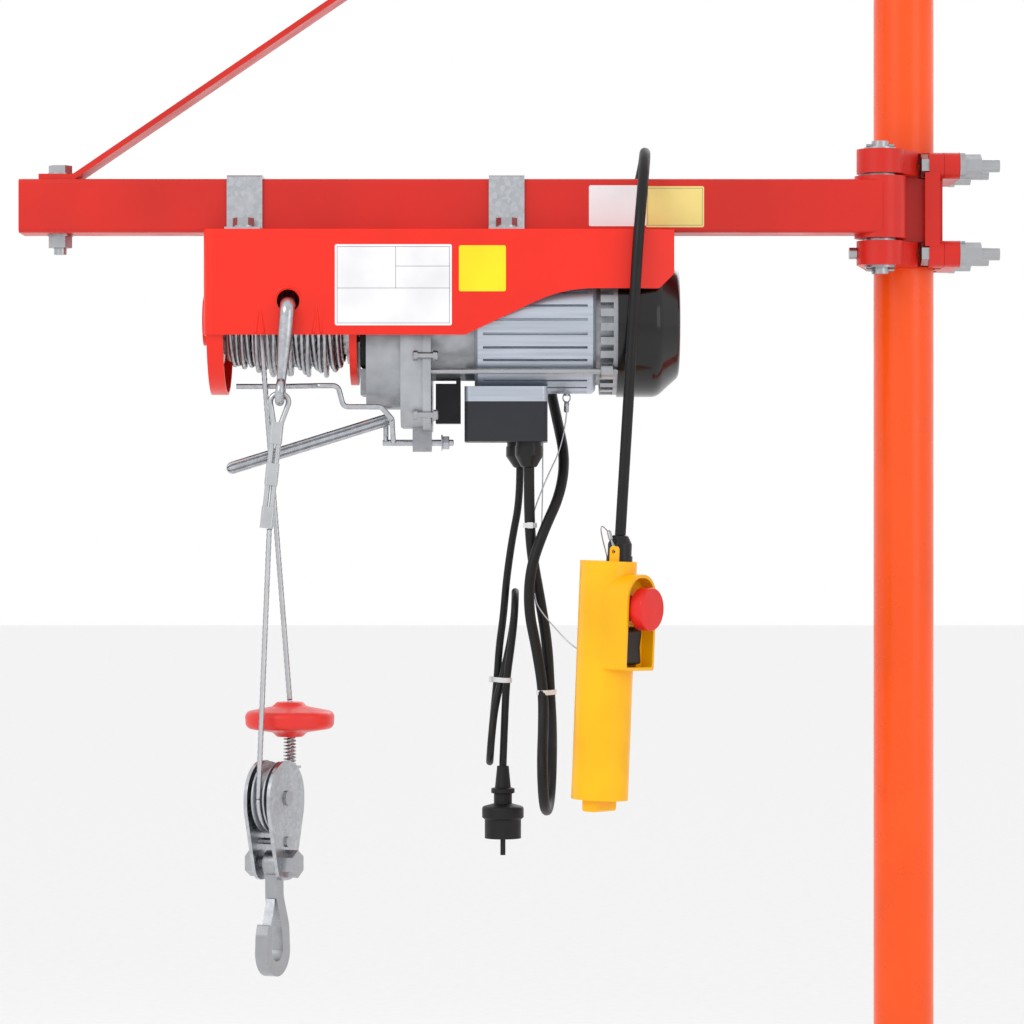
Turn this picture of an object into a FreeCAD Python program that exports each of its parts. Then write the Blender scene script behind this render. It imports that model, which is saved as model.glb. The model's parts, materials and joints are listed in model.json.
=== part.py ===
import FreeCAD, Part
import math
import os
import re
import Sketcher
from FreeCAD import Placement, Rotation, Vector

# Jib crane with a rope hoist on its arm. The pole stands on the origin, the arm points along -X,
# and the arm, the hoist and the ropes lie in front of the pole, towards -Y.
# Every size is one row here, in millimetres or degrees: its name, its value and what it is.
SIZES = [
    ("pole_od", 57.0, "pole outside diameter"),
    ("pole_wall", 3.5, "pole wall"),
    ("pole_height", 2000.0, "top of the pole above the ground"),
    ("base_side", 220.0, "side of the square base plate"),
    ("base_thick", 12.0, "base plate thickness"),
    ("base_corner", 12.0, "base plate corner radius"),
    ("base_hole", 14.0, "anchor hole diameter"),
    ("base_pitch", 170.0, "anchor holes, centre to centre"),
    ("cap_lip", 2.5, "pole cap rim thickness"),
    ("cap_dome", 8.0, "pole cap height above the pole"),
    ("cap_plug", 22.0, "pole cap length inside the pole"),
    ("slip", 0.2, "gap between pieces that are slid together"),
    ("run", 0.05, "radial gap at a turning pin"),
    ("beam_z", 1300.0, "height of the arm's centre line"),
    ("upper_rise", 537.0, "upper bracket above the lower one"),
    ("pivot_x", -29.0, "pivot axis, along the arm from the pole axis"),
    ("pivot_y", -68.0, "pivot axis, in front of the pole axis"),
    ("pin_d", 16.0, "pivot pin diameter"),
    ("pin_reach", 62.0, "pivot pin below and above the bracket's centre"),
    ("pin_washer_d", 30.0, "washers on the pivot pin"),
    ("pin_washer", 2.0, "their thickness"),
    ("lock_screw_d", 6.0, "locking screw of the pivot pin"),
    ("lock_head_d", 11.0, "its head"),
    ("lock_head", 7.0, "height of its head"),
    ("saddle_half", 54.0, "half the height of a bracket"),
    ("saddle_wall", 8.0, "wall of the saddle round the pole"),
    ("saddle_leg", 33.0, "reach of the saddle past the pole axis"),
    ("lug_thick", 22.5, "thickness of a bracket's lugs"),
    ("lug_r", 22.0, "rounded end of a lug"),
    ("ear_d", 25.0, "bosses for the clamp bolts"),
    ("ear_out", 41.0, "clamp bolts, in front of and behind the pole axis"),
    ("ear_up", 41.5, "clamp bolts above and below the bracket's centre"),
    ("ear_face", 19.0, "where the ear bosses begin"),
    ("rib_wide", 14.0, "upright rib between the ears"),
    ("clamp_gap", 0.3, "joint between bracket and clamp bar"),
    ("clamp_thick", 14.7, "clamp bar thickness"),
    ("pad_half", 12.0, "half the width of the clamp bar's pad"),
    ("bolt_d", 12.0, "clamp bolt diameter"),
    ("bolt_af", 19.0, "clamp bolt, across the flats"),
    ("bolt_head", 7.0, "clamp bolt head height"),
    ("bolt_nut", 15.5, "height of a clamp nut and its lock nut"),
    ("bolt_end", 17.5, "thread left past the nut"),
    ("washer_d", 26.0, "clamp bolt washers"),
    ("washer", 5.0, "flat and spring washer together"),
    ("barrel_r", 24.0, "pivot barrel radius"),
    ("barrel_half", 29.0, "half the height of a pivot barrel"),
    ("beam_side", 50.0, "side of the square arm tube"),
    ("beam_wall", 3.0, "its wall"),
    ("beam_tip", -831.0, "open end of the arm"),
    ("beam_round", 4.0, "outer corner radius of the arm tube"),
    ("brace_wide", 40.0, "brace bar width"),
    ("brace_thick", 5.0, "brace bar thickness"),
    ("brace_tab", -813.0, "end of the brace's flat foot"),
    ("brace_bend", -781.0, "bend of the brace"),
    ("brace_bolt_x", -795.0, "bolt through the brace's foot"),
    ("brace_bolt_d", 12.0, "its diameter"),
    ("brace_washer_d", 24.0, "its washers"),
    ("strap_wide", 33.0, "hoist strap width"),
    ("strap_thick", 3.0, "hoist strap thickness"),
    ("strap_foot", 28.0, "strap foot, outward from the arm"),
    ("strap_one", 35.0, "centre of the first strap from the hoist's end"),
    ("strap_two", 278.0, "centre of the second strap from the hoist's end"),
    ("strap_bolt_d", 10.0, "strap bolt diameter"),
    ("strap_bolt_out", 14.0, "strap bolt from the side of the arm"),
    ("strap_head_af", 17.0, "strap bolt, across the flats"),
    ("hoist_x", -656.0, "left end of the hoist cover"),
    ("cover_long", 432.0, "hoist cover length"),
    ("cover_wide", 143.0, "hoist cover width"),
    ("cover_wall", 2.5, "hoist cover sheet"),
    ("cover_deep", 97.0, "hoist cover height over the drum"),
    ("cover_shallow", 54.5, "hoist cover height over the motor"),
    ("cover_step", 240.0, "where its lower edge begins to rise"),
    ("cover_rise", 330.0, "where its lower edge is level again"),
    ("cover_sweep", 125.0, "radius of that bend"),
    ("cover_crease", 398.0, "where its sides turn inward"),
    ("cover_narrow", 124.0, "its width at the motor end"),
    ("cover_bend", 9.0, "rounded corners of the cover"),
    ("tail_cut", 14.0, "cut-off lower corner at the motor end"),
    ("hook_hole_x", 78.0, "rope-end hook hole from the hoist's end"),
    ("hook_hole_drop", 66.0, "its centre below the arm"),
    ("hook_hole_d", 21.0, "its diameter"),
    ("drum_drop", 81.0, "drum axis below the arm"),
    ("bearing_wall", 2.5, "pressed bearing plates"),
    ("bearing_rim", 15.0, "rim of the first bearing plate"),
    ("bearing_rim_two", 7.0, "rim of the second bearing plate"),
    ("bearing_r", 69.0, "lower end of the first bearing plate"),
    ("bearing_r_two", 60.0, "lower end of the second bearing plate"),
    ("boss_r", 23.0, "pressed boss at the drum bearing"),
    ("boss_out", 5.0, "how far the boss stands out of the cover"),
    ("shaft_d", 20.0, "drum shaft"),
    ("drum_bay", 140.0, "hoist end to the far face of the second plate"),
    ("drum_core_r", 31.0, "drum core radius"),
    ("drum_flange_r", 40.0, "drum flange radius"),
    ("drum_flange", 3.0, "drum flange thickness"),
    ("drum_gap", 5.0, "gap between the drum and the bearing plates"),
    ("rope_d", 5.0, "rope diameter"),
    ("rope_exit", 50.6, "where the rope leaves the drum, from the hoist's end"),
    ("rope_joint", 0.5, "gap between two lengths of the same rope"),
    ("wind_r", 46.0, "outer radius of the wound rope"),
    ("gasket", 5.6, "gearbox gasket thickness"),
    ("gasket_gap", 2.8, "gasket from the second bearing plate"),
    ("gear_half", 50.0, "half the width of the gearbox housing"),
    ("gear_drop", 163.0, "bottom of the gearbox housing below the arm"),
    ("gear_long", 32.0, "gearbox housing length"),
    ("flange_half", 58.0, "half the width of the gearbox flange"),
    ("flange_drop", 181.0, "bottom of the gearbox flange below the arm"),
    ("flange_long", 20.5, "gearbox flange thickness"),
    ("joint_long", 7.5, "motor flange thickness"),
    ("joint_drop", 184.0, "bottom of the motor flange below the arm"),
    ("case_top", 20.0, "top of the gearbox below the arm"),
    ("lever_drop", 195.0, "limit lever shaft below the arm"),
    ("lever_out", -14.0, "limit lever shaft, from the arm's centre plane"),
    ("lever_shaft_d", 6.0, "limit lever shaft diameter"),
    ("lever_eye_r", 8.5, "eye for the limit lever shaft"),
    ("motor_drop", 83.0, "motor axis below the arm"),
    ("bell_r", 54.0, "motor end bell radius"),
    ("bell_long", 40.0, "motor end bell length"),
    ("motor_r", 66.0, "motor radius over the fins"),
    ("motor_long", 112.0, "length of the finned motor body"),
    ("fin_deep", 5.0, "depth between the fins"),
    ("fin_gap", 2.6, "gap between the fins"),
    ("fin_count", 32.0, "number of fins"),
    ("ring_r", 67.0, "fan end ring radius"),
    ("ring_long", 16.0, "fan end ring length"),
    ("ring_gap", 4.0, "ring from the motor body"),
    ("ring_slot", 6.0, "slots of the ring"),
    ("fan_r", 69.0, "fan cover radius"),
    ("fan_long", 58.0, "fan cover length"),
    ("fan_wall", 2.5, "fan cover wall"),
    ("fan_face_r", 50.0, "flat end of the fan cover"),
    ("box_x", 239.0, "junction box from the hoist's end"),
    ("box_long", 77.0, "junction box length"),
    ("box_wide", 78.0, "junction box width"),
    ("box_top", 143.0, "top of the junction box below the arm"),
    ("box_base", 14.0, "height of its metal base"),
    ("box_drop", 194.0, "bottom of the junction box below the arm"),
    ("box_round", 6.0, "its corner radius"),
    ("gland_hex", 26.0, "gland, across the flats"),
    ("gland_long", 24.0, "gland length"),
    ("gland_a_x", 298.8, "control cable gland from the hoist's end"),
    ("gland_a_out", -20.0, "control cable gland, from the centre plane"),
    ("gland_b_x", 290.4, "mains cable gland from the hoist's end"),
    ("gland_b_out", 15.0, "mains cable gland, from the centre plane"),
    ("cable_d", 10.0, "control cable diameter"),
    ("mains_d", 7.0, "mains cable diameter"),
    ("plug_r", 19.5, "mains plug flange radius"),
    ("plug_long", 67.5, "mains plug with its strain relief"),
    ("plug_pin_d", 4.8, "plug pin diameter"),
    ("plug_pin_long", 15.0, "plug pin length"),
    ("plug_pitch", 19.0, "plug pins, centre to centre"),
    ("tie_wall", 1.5, "cable tie thickness"),
    ("tie_wide", 4.5, "cable tie width"),
    ("switch_x", 212.0, "limit switch from the hoist's end"),
    ("switch_long", 19.0, "limit switch length"),
    ("switch_top", 140.0, "top of the limit switch below the arm"),
    ("switch_tall", 37.0, "limit switch height"),
    ("switch_wide", 30.0, "limit switch width"),
    ("block_x", -590.5, "centre of the rope block"),
    ("block_out", -75.0, "rope block, from the arm's centre plane"),
    ("block_drop", 520.5, "sheave axis below the arm"),
    ("block_turn", -24.0, "turn of the block about the upright"),
    ("sheave_r", 33.0, "sheave rim radius"),
    ("sheave_pitch", 31.0, "rope centre on the sheave"),
    ("sheave_thick", 13.0, "sheave thickness"),
    ("sheave_bore", 10.0, "sheave pin diameter"),
    ("plate_r", 34.0, "round head of a block plate"),
    ("plate_thick", 3.5, "block plate thickness"),
    ("plate_gap", 20.0, "between the block plates"),
    ("plate_foot_r", 15.0, "foot of a block plate"),
    ("block_bolt_drop", 60.0, "main bolt below the sheave axis"),
    ("block_bolt_d", 12.0, "main bolt diameter"),
    ("block_bolt_af", 22.0, "its head, across the flats"),
    ("block_bolt_head", 11.0, "its head height"),
    ("spacer_drop", 40.0, "spacer below the sheave axis"),
    ("spacer_d", 6.0, "spacer diameter"),
    ("disc_r", 41.5, "stop disc radius"),
    ("disc_rise", 70.0, "stop disc centre above the sheave axis"),
    ("disc_rim", 10.0, "half the height of the disc at its rim"),
    ("disc_hub", 16.0, "half the height of the disc at its hub"),
    ("disc_hub_r", 12.0, "disc hub radius"),
    ("spring_r", 6.0, "spring radius"),
    ("spring_wire", 1.5, "spring wire diameter"),
    ("spring_turns", 8.0, "spring turns"),
    ("hook_thick", 12.0, "hook thickness"),
    ("hook_eye_r", 12.0, "hook eye radius"),
    ("hook_bowl_r", 23.0, "outside of the hook's bowl"),
    ("hook_mouth_r", 11.0, "inside of the hook's bowl"),
    ("hook_long", 80.0, "hook eye to the centre of its bowl"),
    ("pendant_x", -285.0, "pendant top"),
    ("pendant_out", -90.0, "pendant, from the arm's centre plane"),
    ("pendant_drop", 304.0, "pendant top below the arm"),
    ("pendant_tilt", 2.2, "lean of the pendant"),
    ("pendant_r", 26.0, "pendant radius"),
    ("pendant_long", 217.0, "pendant length"),
    ("hood_turn", 55.0, "where the pendant's controls face"),
    ("hood_half", 24.0, "half the width of the pendant's hood"),
    ("hood_out", 37.8, "hood from the pendant's axis"),
    ("hood_top", 11.0, "hood below the pendant's top"),
    ("hood_end", 98.0, "lower end of the hood"),
    ("hood_wall", 3.0, "hood wall"),
    ("panel_out", 26.0, "control panel from the pendant's axis"),
    ("estop_drop", 42.0, "stop button below the pendant's top"),
    ("estop_r", 19.5, "stop button cap radius"),
    ("estop_face", 51.0, "stop button face from the pendant's axis"),
    ("estop_cap", 14.0, "stop button cap height"),
    ("estop_travel", 4.0, "stop button travel"),
    ("estop_neck_r", 11.0, "stop button neck radius"),
    ("rocker_drop", 77.0, "rocker centre below the pendant's top"),
    ("rocker_tall", 36.0, "rocker height"),
    ("rocker_wide", 24.0, "rocker width"),
    ("rocker_out", 31.0, "rocker face from the pendant's axis"),
    ("lever_d", 5.0, "limit lever rod diameter"),
    ("lever_front", -58.0, "limit lever rod in front of the gearbox, from the centre plane"),
    ("lever_back", -36.0, "limit lever rod behind the rope, from the centre plane"),
    ("lever_start", 28.0, "free end of the rod, from the hoist's end"),
    ("lever_rod_drop", 143.3, "limit lever rod below the arm"),
    ("lever_step_drop", 162.7, "its lower stretch below the arm"),
    ("lever_link_x", 172.6, "link of the rod to the shaft, from the hoist's end"),
    ("lever_arm_x", 24.0, "free end of the limit lever arm, from the hoist's end"),
    ("lever_arm_out", 14.0, "free end of the arm, in front of the shaft"),
    ("lever_arm_drop", 218.3, "free end of the arm below the hoist's top"),
    ("lever_arm_wide", 16.0, "limit lever arm width"),
    ("lever_arm_thick", 11.5, "limit lever arm thickness"),
    ("lever_arm_wall", 2.0, "limit lever arm sheet"),
    ("lever_crank", 21.0, "arm above the shaft"),
    ("lever_reach", 25.0, "crank and nut, from the middle of the shaft's eye"),
    ("end_hook_d", 14.0, "rope-end hook bar diameter"),
    ("end_hook_gap", 9.5, "its shank, in front of the cover"),
    ("end_hook_in", 13.0, "its tip, behind the cover's front"),
    ("end_hook_lean", 4.5, "lean of the hook"),
    ("end_eye_drop", 150.0, "its eye below the arm"),
    ("end_eye_r", 9.0, "its eye, centre line radius"),
    ("end_eye_d", 8.4, "its eye, bar diameter"),
    ("thimble_r", 7.5, "rope loop radius"),
    ("rope_end_lean", 6.0, "lean of the rope end"),
    ("ferrule_wide", 12.0, "ferrule width"),
    ("ferrule_thick", 8.0, "ferrule thickness"),
    ("ferrule_long", 20.0, "ferrule length"),
]

doc = FreeCAD.newDocument("JibCrane")
sheet = doc.addObject("Spreadsheet::Sheet", "Sizes")
VALUES = {}
for row, (word, value, meaning) in enumerate(SIZES, 1):
    sheet.set(f"A{row}", word)
    sheet.set(f"B{row}", str(value))
    sheet.setAlias(f"B{row}", word)
    sheet.set(f"C{row}", meaning)
    VALUES[word] = value
doc.recompute()

WORD = re.compile(r"[a-z][a-z0-9_]*")
subparts = []


def formula(text):
    """A formula in the sheet's words, as the document reads it."""
    return WORD.sub(lambda m: "Sizes." + m.group() if m.group() in VALUES else m.group(), str(text))


def number(text):
    """What a formula in the sheet's words comes to, as a first guess for a sketch."""
    plain = WORD.sub(lambda m: f"({VALUES[m.group()]})" if m.group() in VALUES else m.group(), str(text))
    return FreeCAD.Units.parseQuantity(plain).Value


def bind(thing, **formulas):
    """Bind properties of an object to formulas."""
    for prop, text in formulas.items():
        thing.setExpression(prop, formula(text))
    return thing


AXES = {
    "X": Rotation(Vector(0, 1, 0), 90),
    "-X": Rotation(Vector(0, 1, 0), -90),
    "Y": Rotation(Vector(1, 0, 0), -90),
    "-Y": Rotation(Vector(1, 0, 0), 90),
    "Z": Rotation(),
    "-Z": Rotation(Vector(1, 0, 0), 180),
}


def place(thing, at=(0, 0, 0), turn=None):
    """Set an object down at three formulas, turned if it needs it."""
    if turn is not None:
        thing.Placement = Placement(Vector(), turn)
    for letter, text in zip("xyz", at):
        if str(text) != "0":
            thing.setExpression(".Placement.Base." + letter, formula(text))
    return thing


def block(low, wide, deep, tall):
    """A box from its low corner, with its sizes along X, Y and Z."""
    return place(bind(doc.addObject("Part::Box", "Block"), Length=wide, Width=deep, Height=tall), low)


def rod(radius, length, at, axis="Z"):
    """A cylinder that starts at a point and runs along an axis."""
    return place(bind(doc.addObject("Part::Cylinder", "Rod"), Radius=radius, Height=length), at, AXES[axis])


def hexagon(flats, length, at, axis="Z"):
    """A hexagonal head or nut, by its size across the flats."""
    nut = doc.addObject("Part::Prism", "Hexagon")
    nut.Polygon = 6
    bind(nut, Circumradius=f"({flats}) / sqrt(3)", Height=length)
    return place(nut, at, AXES[axis])


def fused(*pieces):
    whole = doc.addObject("Part::MultiFuse", "Fused")
    whole.Shapes = list(pieces)
    return whole


def less(base, *tools):
    """A piece with others cut out of it."""
    rest = doc.addObject("Part::Cut", "Cut")
    rest.Base = base
    rest.Tool = tools[0] if len(tools) == 1 else fused(*tools)
    return rest


def together(*pieces):
    """Like pieces of one sub-part that don't touch."""
    group = doc.addObject("Part::Compound", "Group")
    group.Links = list(pieces)
    return group


def keep(thing, label, at=None, turn=None):
    """Name a finished sub-part."""
    thing.Label = label
    if at is not None:
        place(thing, at, turn)
    subparts.append(thing)
    return thing


def new_body(at=(0, 0, 0), turn=None):
    return place(doc.addObject("PartDesign::Body", "Body"), at, turn)


def origin_of(body, role):
    return next(part for part in body.Origin.OriginFeatures if part.Role == role)


def sketch_on(body, plane):
    sketch = body.newObject("Sketcher::SketchObject", "Outline")
    sketch.AttachmentSupport = [(origin_of(body, plane + "_Plane"), "")]
    sketch.MapMode = "FlatFace"
    return sketch


def hold(sketch, kind, *words):
    """Add a constraint, its last word a formula where it has a size."""
    if kind in ("DistanceX", "DistanceY", "Radius"):
        index = sketch.addConstraint(Sketcher.Constraint(kind, *words[:-1], number(words[-1])))
        sketch.setExpression(f"Constraints[{index}]", formula(words[-1]))
    else:
        sketch.addConstraint(Sketcher.Constraint(kind, *words))


def pin_down(sketch, geometry, corner):
    """Tie a point of a sketch to its two formulas, counted from the sketch's origin."""
    hold(sketch, "DistanceX", -1, 1, geometry, 1, corner[0])
    hold(sketch, "DistanceY", -1, 1, geometry, 1, corner[1])


def outline(sketch, corners):
    """Draw a closed outline; a corner's third formula, where it has one, is its radius."""
    points = [Vector(number(corner[0]), number(corner[1]), 0) for corner in corners]
    count = len(corners)
    entries, exits = [], []
    for i, corner in enumerate(corners):
        back = (points[i - 1] - points[i]).normalize()
        ahead = (points[(i + 1) % count] - points[i]).normalize()
        cut_back = number(corner[2]) / math.tan(back.getAngle(ahead) / 2) if len(corner) > 2 else 0
        entries.append(points[i] + back * cut_back)
        exits.append(points[i] + ahead * cut_back)
    first = sketch.GeometryCount
    for i in range(count):
        sketch.addGeometry(Part.LineSegment(exits[i], entries[(i + 1) % count]))
    for i, corner in enumerate(corners):
        before, after = first + (i - 1) % count, first + i
        if len(corner) < 3:
            hold(sketch, "Coincident", before, 2, after, 1)
            pin_down(sketch, after, corner)
            continue
        mark = sketch.addGeometry(Part.Point(points[i]), True)
        pin_down(sketch, mark, corner)
        hold(sketch, "PointOnObject", mark, 1, before)
        hold(sketch, "PointOnObject", mark, 1, after)
        inward = ((entries[i] + exits[i]) * 0.5 - points[i]).normalize()
        half = (entries[i] - points[i]).getAngle(inward)
        centre = points[i] + inward * (number(corner[2]) / math.sin(half))
        leftward = (points[i] - entries[i]).cross(exits[i] - points[i]).z > 0
        begin, end = (entries[i], exits[i]) if leftward else (exits[i], entries[i])
        angles = [math.atan2(spot.y - centre.y, spot.x - centre.x) for spot in (begin, end)]
        ring = Part.Circle(centre, Vector(0, 0, 1), number(corner[2]))
        arc = sketch.addGeometry(Part.ArcOfCircle(ring, *angles))
        hold(sketch, "Tangent", before, 2, arc, 1 if leftward else 2)
        hold(sketch, "Tangent", after, 1, arc, 2 if leftward else 1)
        hold(sketch, "Radius", arc, corner[2])
    return sketch


def circle(sketch, centre, radius):
    """Draw a circle at two formulas."""
    ring = sketch.addGeometry(Part.Circle(Vector(number(centre[0]), number(centre[1]), 0), Vector(0, 0, 1),
                                          number(radius)))
    hold(sketch, "DistanceX", -1, 1, ring, 3, centre[0])
    hold(sketch, "DistanceY", -1, 1, ring, 3, centre[1])
    hold(sketch, "Radius", ring, radius)
    return sketch


def pad(body, sketch, length, centred=True, backward=False):
    """Thicken a sketch, to both sides of its plane or to one."""
    solid = body.newObject("PartDesign::Pad", "Pad")
    solid.Profile = sketch
    solid.Midplane = centred
    solid.Reversed = backward
    return bind(solid, Length=length)


def pocket(body, sketch, length, centred=True, backward=False):
    """Cut a sketch out of a body, to both sides of its plane or to one."""
    hollow = body.newObject("PartDesign::Pocket", "Pocket")
    hollow.Profile = sketch
    hollow.Midplane = centred
    hollow.Reversed = backward
    return bind(hollow, Length=length)


def turned(corners, at=(0, 0, 0), turn=None, axis="V_Axis"):
    """A body of revolution from half its section; V_Axis is upright, H_Axis lies along X."""
    body = new_body(at, turn)
    sketch = outline(sketch_on(body, "XZ"), corners)
    spun = body.newObject("PartDesign::Revolution", "Revolution")
    spun.Profile = sketch
    spun.ReferenceAxis = (sketch, [axis])
    return body


def plate(plane, corners, thick, at=(0, 0, 0), turn=None, holes=(), centred=True, backward=False):
    """A flat piece: an outline and its round holes, thickened."""
    body = new_body(at, turn)
    sketch = outline(sketch_on(body, plane), corners)
    for centre_x, centre_y, radius in holes:
        circle(sketch, (centre_x, centre_y), radius)
    pad(body, sketch, thick, centred, backward)
    return body


def soften(body, radius, wanted):
    """Round the edges of a body's last feature that a test picks out."""
    doc.recompute()
    tip = body.Tip
    names = [f"Edge{i}" for i, edge in enumerate(tip.Shape.Edges, 1) if wanted(edge)]
    rounded = body.newObject("PartDesign::Fillet", "Fillet")
    rounded.Base = (tip, names)
    return bind(rounded, Radius=radius)


def upright(edge):
    ends = edge.Vertexes
    return len(ends) == 2 and (ends[0].Point - ends[1].Point).cross(Vector(0, 0, 1)).Length < 1e-6


def lengthwise(edge):
    ends = edge.Vertexes
    return len(ends) == 2 and (ends[0].Point - ends[1].Point).cross(Vector(1, 0, 0)).Length < 1e-6


# Mast: base plate, pole and cap
def make_mast():
    half = "base_side / 2"
    corners = [(f"{a} * {half}", f"{b} * {half}", "base_corner") for a, b in ((-1, -1), (1, -1), (1, 1), (-1, 1))]
    holes = [(f"{a} * base_pitch / 2", f"{b} * base_pitch / 2", "base_hole / 2") for a in (-1, 1) for b in (-1, 1)]
    keep(plate("XY", corners, "base_thick", holes=holes, centred=False), "base_plate")
    tube = less(rod("pole_od / 2", "pole_height - base_thick", (0, 0, "base_thick")),
                rod("pole_od / 2 - pole_wall", "pole_height", (0, 0, "base_thick")))
    keep(tube, "pole")
    bore = "pole_od / 2 - pole_wall - slip"
    keep(turned([(0, "-cap_plug"), (bore, "-cap_plug"), (bore, 0), ("pole_od / 2", 0),
                 ("pole_od / 2", "cap_lip", "cap_lip / 2"), (f"{bore} * 0.6", "cap_dome", "cap_dome"),
                 (0, "cap_dome")], (0, 0, "pole_height")), "pole_cap")


def rectangle(low_x, low_y, high_x, high_y):
    return [(low_x, low_y), (high_x, low_y), (high_x, high_y), (low_x, high_y)]


def sketch_at(body, plane, height):
    """A sketch on a plane that lies a formula away from the body's own plane."""
    sketch = sketch_on(body, plane)
    sketch.setExpression(".AttachmentOffset.Base.z", formula(height))
    return sketch


# A bracket: saddle round the pole, two lugs for the pivot, ears for the clamp bolts
def make_bracket(name, level):
    seat = "pole_od / 2 + slip"
    outside = f"({seat} + saddle_wall)"
    step = "(ear_face - 4)"
    body = new_body((0, 0, level))
    saddle = [("saddle_leg", f"-{outside}"), ("saddle_leg", outside), (f"-{outside}", outside, f"{outside} - 0.5"),
              (f"-{outside}", f"-{outside}", f"{outside} - 0.5")]
    pad(body, outline(sketch_on(body, "XY"), saddle), "2 * saddle_half")
    lug_face = "ear_face - bolt_head - 3"
    for side in (-1, 1):
        middle = f"{side} * (saddle_half - lug_thick / 2)"
        pad(body, circle(sketch_at(body, "XY", middle), ("pivot_x", "pivot_y"), "lug_r"), "lug_thick")
        web = [("pivot_x - lug_r", "pivot_y"), ("pivot_x", "pivot_y"), ("pivot_x + lug_r * 0.59", "pivot_y - lug_r * 0.8"),
               (lug_face, "-ear_out - 3", "5"), (lug_face, "0"), (f"-{outside}", "0")]
        pad(body, outline(sketch_at(body, "XY", middle), web), "lug_thick")
    for front in (-1, 1):
        for side in (-1, 1):
            ear = circle(sketch_at(body, "YZ", "ear_face"), (f"{front} * ear_out", f"{side} * ear_up"), "ear_d / 2")
            pad(body, ear, "saddle_leg - ear_face", centred=False)
        near, far = f"{front} * (pole_od / 2 + saddle_wall / 2)", f"{front} * (ear_out + ear_d / 2 - 2)"
        rib = rectangle(step, near, f"{step} + rib_wide", far)
        pad(body, outline(sketch_on(body, "XY"), rib), "2 * ear_up")
    pocket(body, circle(sketch_on(body, "XY"), (0, 0), seat), "2 * saddle_half + 2")
    throat = rectangle("0", f"-({seat})", "saddle_leg + 1", seat)
    pocket(body, outline(sketch_on(body, "XY"), throat), "2 * saddle_half + 2")
    pocket(body, circle(sketch_on(body, "XY"), ("pivot_x", "pivot_y"), "pin_d / 2 + run"), "2 * saddle_half + 2")
    for front in (-1, 1):
        for side in (-1, 1):
            centre = (f"{front} * ear_out", f"{side} * ear_up")
            pocket(body, circle(sketch_on(body, "YZ"), centre, "bolt_d / 2 + slip"), "2 * saddle_leg + 2")
            head = circle(sketch_at(body, "YZ", "ear_face"), centre, "bolt_af / 2 + 3")
            pocket(body, head, "bolt_head + 2.5", centred=False)
    lock = ("pivot_y", "-saddle_half + lug_thick / 2")
    pocket(body, circle(sketch_at(body, "YZ", "pivot_x"), lock, "lock_screw_d / 2 + slip"), "lug_r + 2", centred=False)
    keep(body, name)


# The loose half of a bracket: a bar with rounded ends at the top and at the bottom, and its four bolts
def make_clamp(prefix, level):
    bars, bolts = [], []
    face = "(saddle_leg + clamp_gap)"
    back = f"{face} + clamp_thick"
    for side in (-1, 1):
        height = f"{level} + {side} * ear_up"
        bar = new_body((face, 0, height))
        pad(bar, outline(sketch_on(bar, "YZ"), rectangle("-ear_out", "-ear_d / 2", "ear_out", "ear_d / 2")),
            "clamp_thick", centred=False)
        for front in (-1, 1):
            pad(bar, circle(sketch_on(bar, "YZ"), (f"{front} * ear_out", 0), "ear_d / 2"), "clamp_thick", centred=False)
        pad(bar, outline(sketch_on(bar, "YZ"), rectangle("-pad_half", "-ear_d / 2", "pad_half", "ear_d / 2")),
            f"{face} - pole_od / 2 - slip", centred=False, backward=True)
        for front in (-1, 1):
            hole = circle(sketch_on(bar, "YZ"), (f"{front} * ear_out", 0), "bolt_d / 2 + slip")
            pocket(bar, hole, "3 * clamp_thick")
        bars.append(bar)
        for front in (-1, 1):
            out = f"{front} * ear_out"
            bolts.append(fused(
                hexagon("bolt_af", "bolt_head", ("ear_face - bolt_head", out, height), "X"),
                rod("bolt_d / 2", f"{back} + washer + bolt_nut + bolt_end - ear_face + 1", ("ear_face - 1", out, height), "X"),
                rod("washer_d / 2", "washer", (back, out, height), "X"),
                hexagon("bolt_af", "bolt_nut", (f"{back} + washer", out, height), "X")))
    keep(together(*bars), prefix + "_clamp_bars")
    keep(together(*bolts), prefix + "_clamp_bolts")


# Pivot pin of a bracket, with its washers, split pins and the screw that locks it
def make_pin(name, level):
    gap = "(saddle_half - lug_thick - barrel_half - 2 * slip)"
    pieces = [rod("pin_d / 2", "2 * pin_reach", ("pivot_x", "pivot_y", f"{level} - pin_reach"))]
    for side in (-1, 1):
        way = "-Z" if side < 0 else "Z"
        pieces.append(rod("pin_washer_d / 2", "pin_washer", ("pivot_x", "pivot_y", f"{level} + {side} * saddle_half"), way))
        pieces.append(rod("pin_washer_d / 2", gap, ("pivot_x", "pivot_y", f"{level} + {side} * (barrel_half + slip)"), way))
        pin_z = f"{level} + {side} * (saddle_half + pin_washer + 2)"
        pieces.append(rod("1.6", "pin_washer_d - 4", ("pivot_x - pin_washer_d / 2 + 2", "pivot_y", pin_z), "X"))
    screw_z = f"{level} - saddle_half + lug_thick / 2"
    pieces.append(rod("lock_screw_d / 2", "lug_r - pin_d / 4", ("pivot_x - lug_r", "pivot_y", screw_z), "X"))
    pieces.append(rod("lock_head_d / 2", "lock_head", ("pivot_x - lug_r", "pivot_y", screw_z), "-X"))
    keep(fused(*pieces), name)


make_mast()
for prefix, level in (("lower", "beam_z"), ("upper", "(beam_z + upper_rise)")):
    make_bracket(prefix + "_bracket", level)
    make_clamp(prefix, level)
    make_pin(prefix + "_pivot_pin", level)

JIB_Y = "pivot_y"
UNDER = "(beam_z - beam_side / 2)"
OVER = "(beam_z + beam_side / 2)"


def hoist(text):
    """A place along the hoist, counted from its left end."""
    return f"(hoist_x + {text})"


def below(text):
    """A height counted down from the underside of the arm."""
    return f"({UNDER} - ({text}))"


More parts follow.
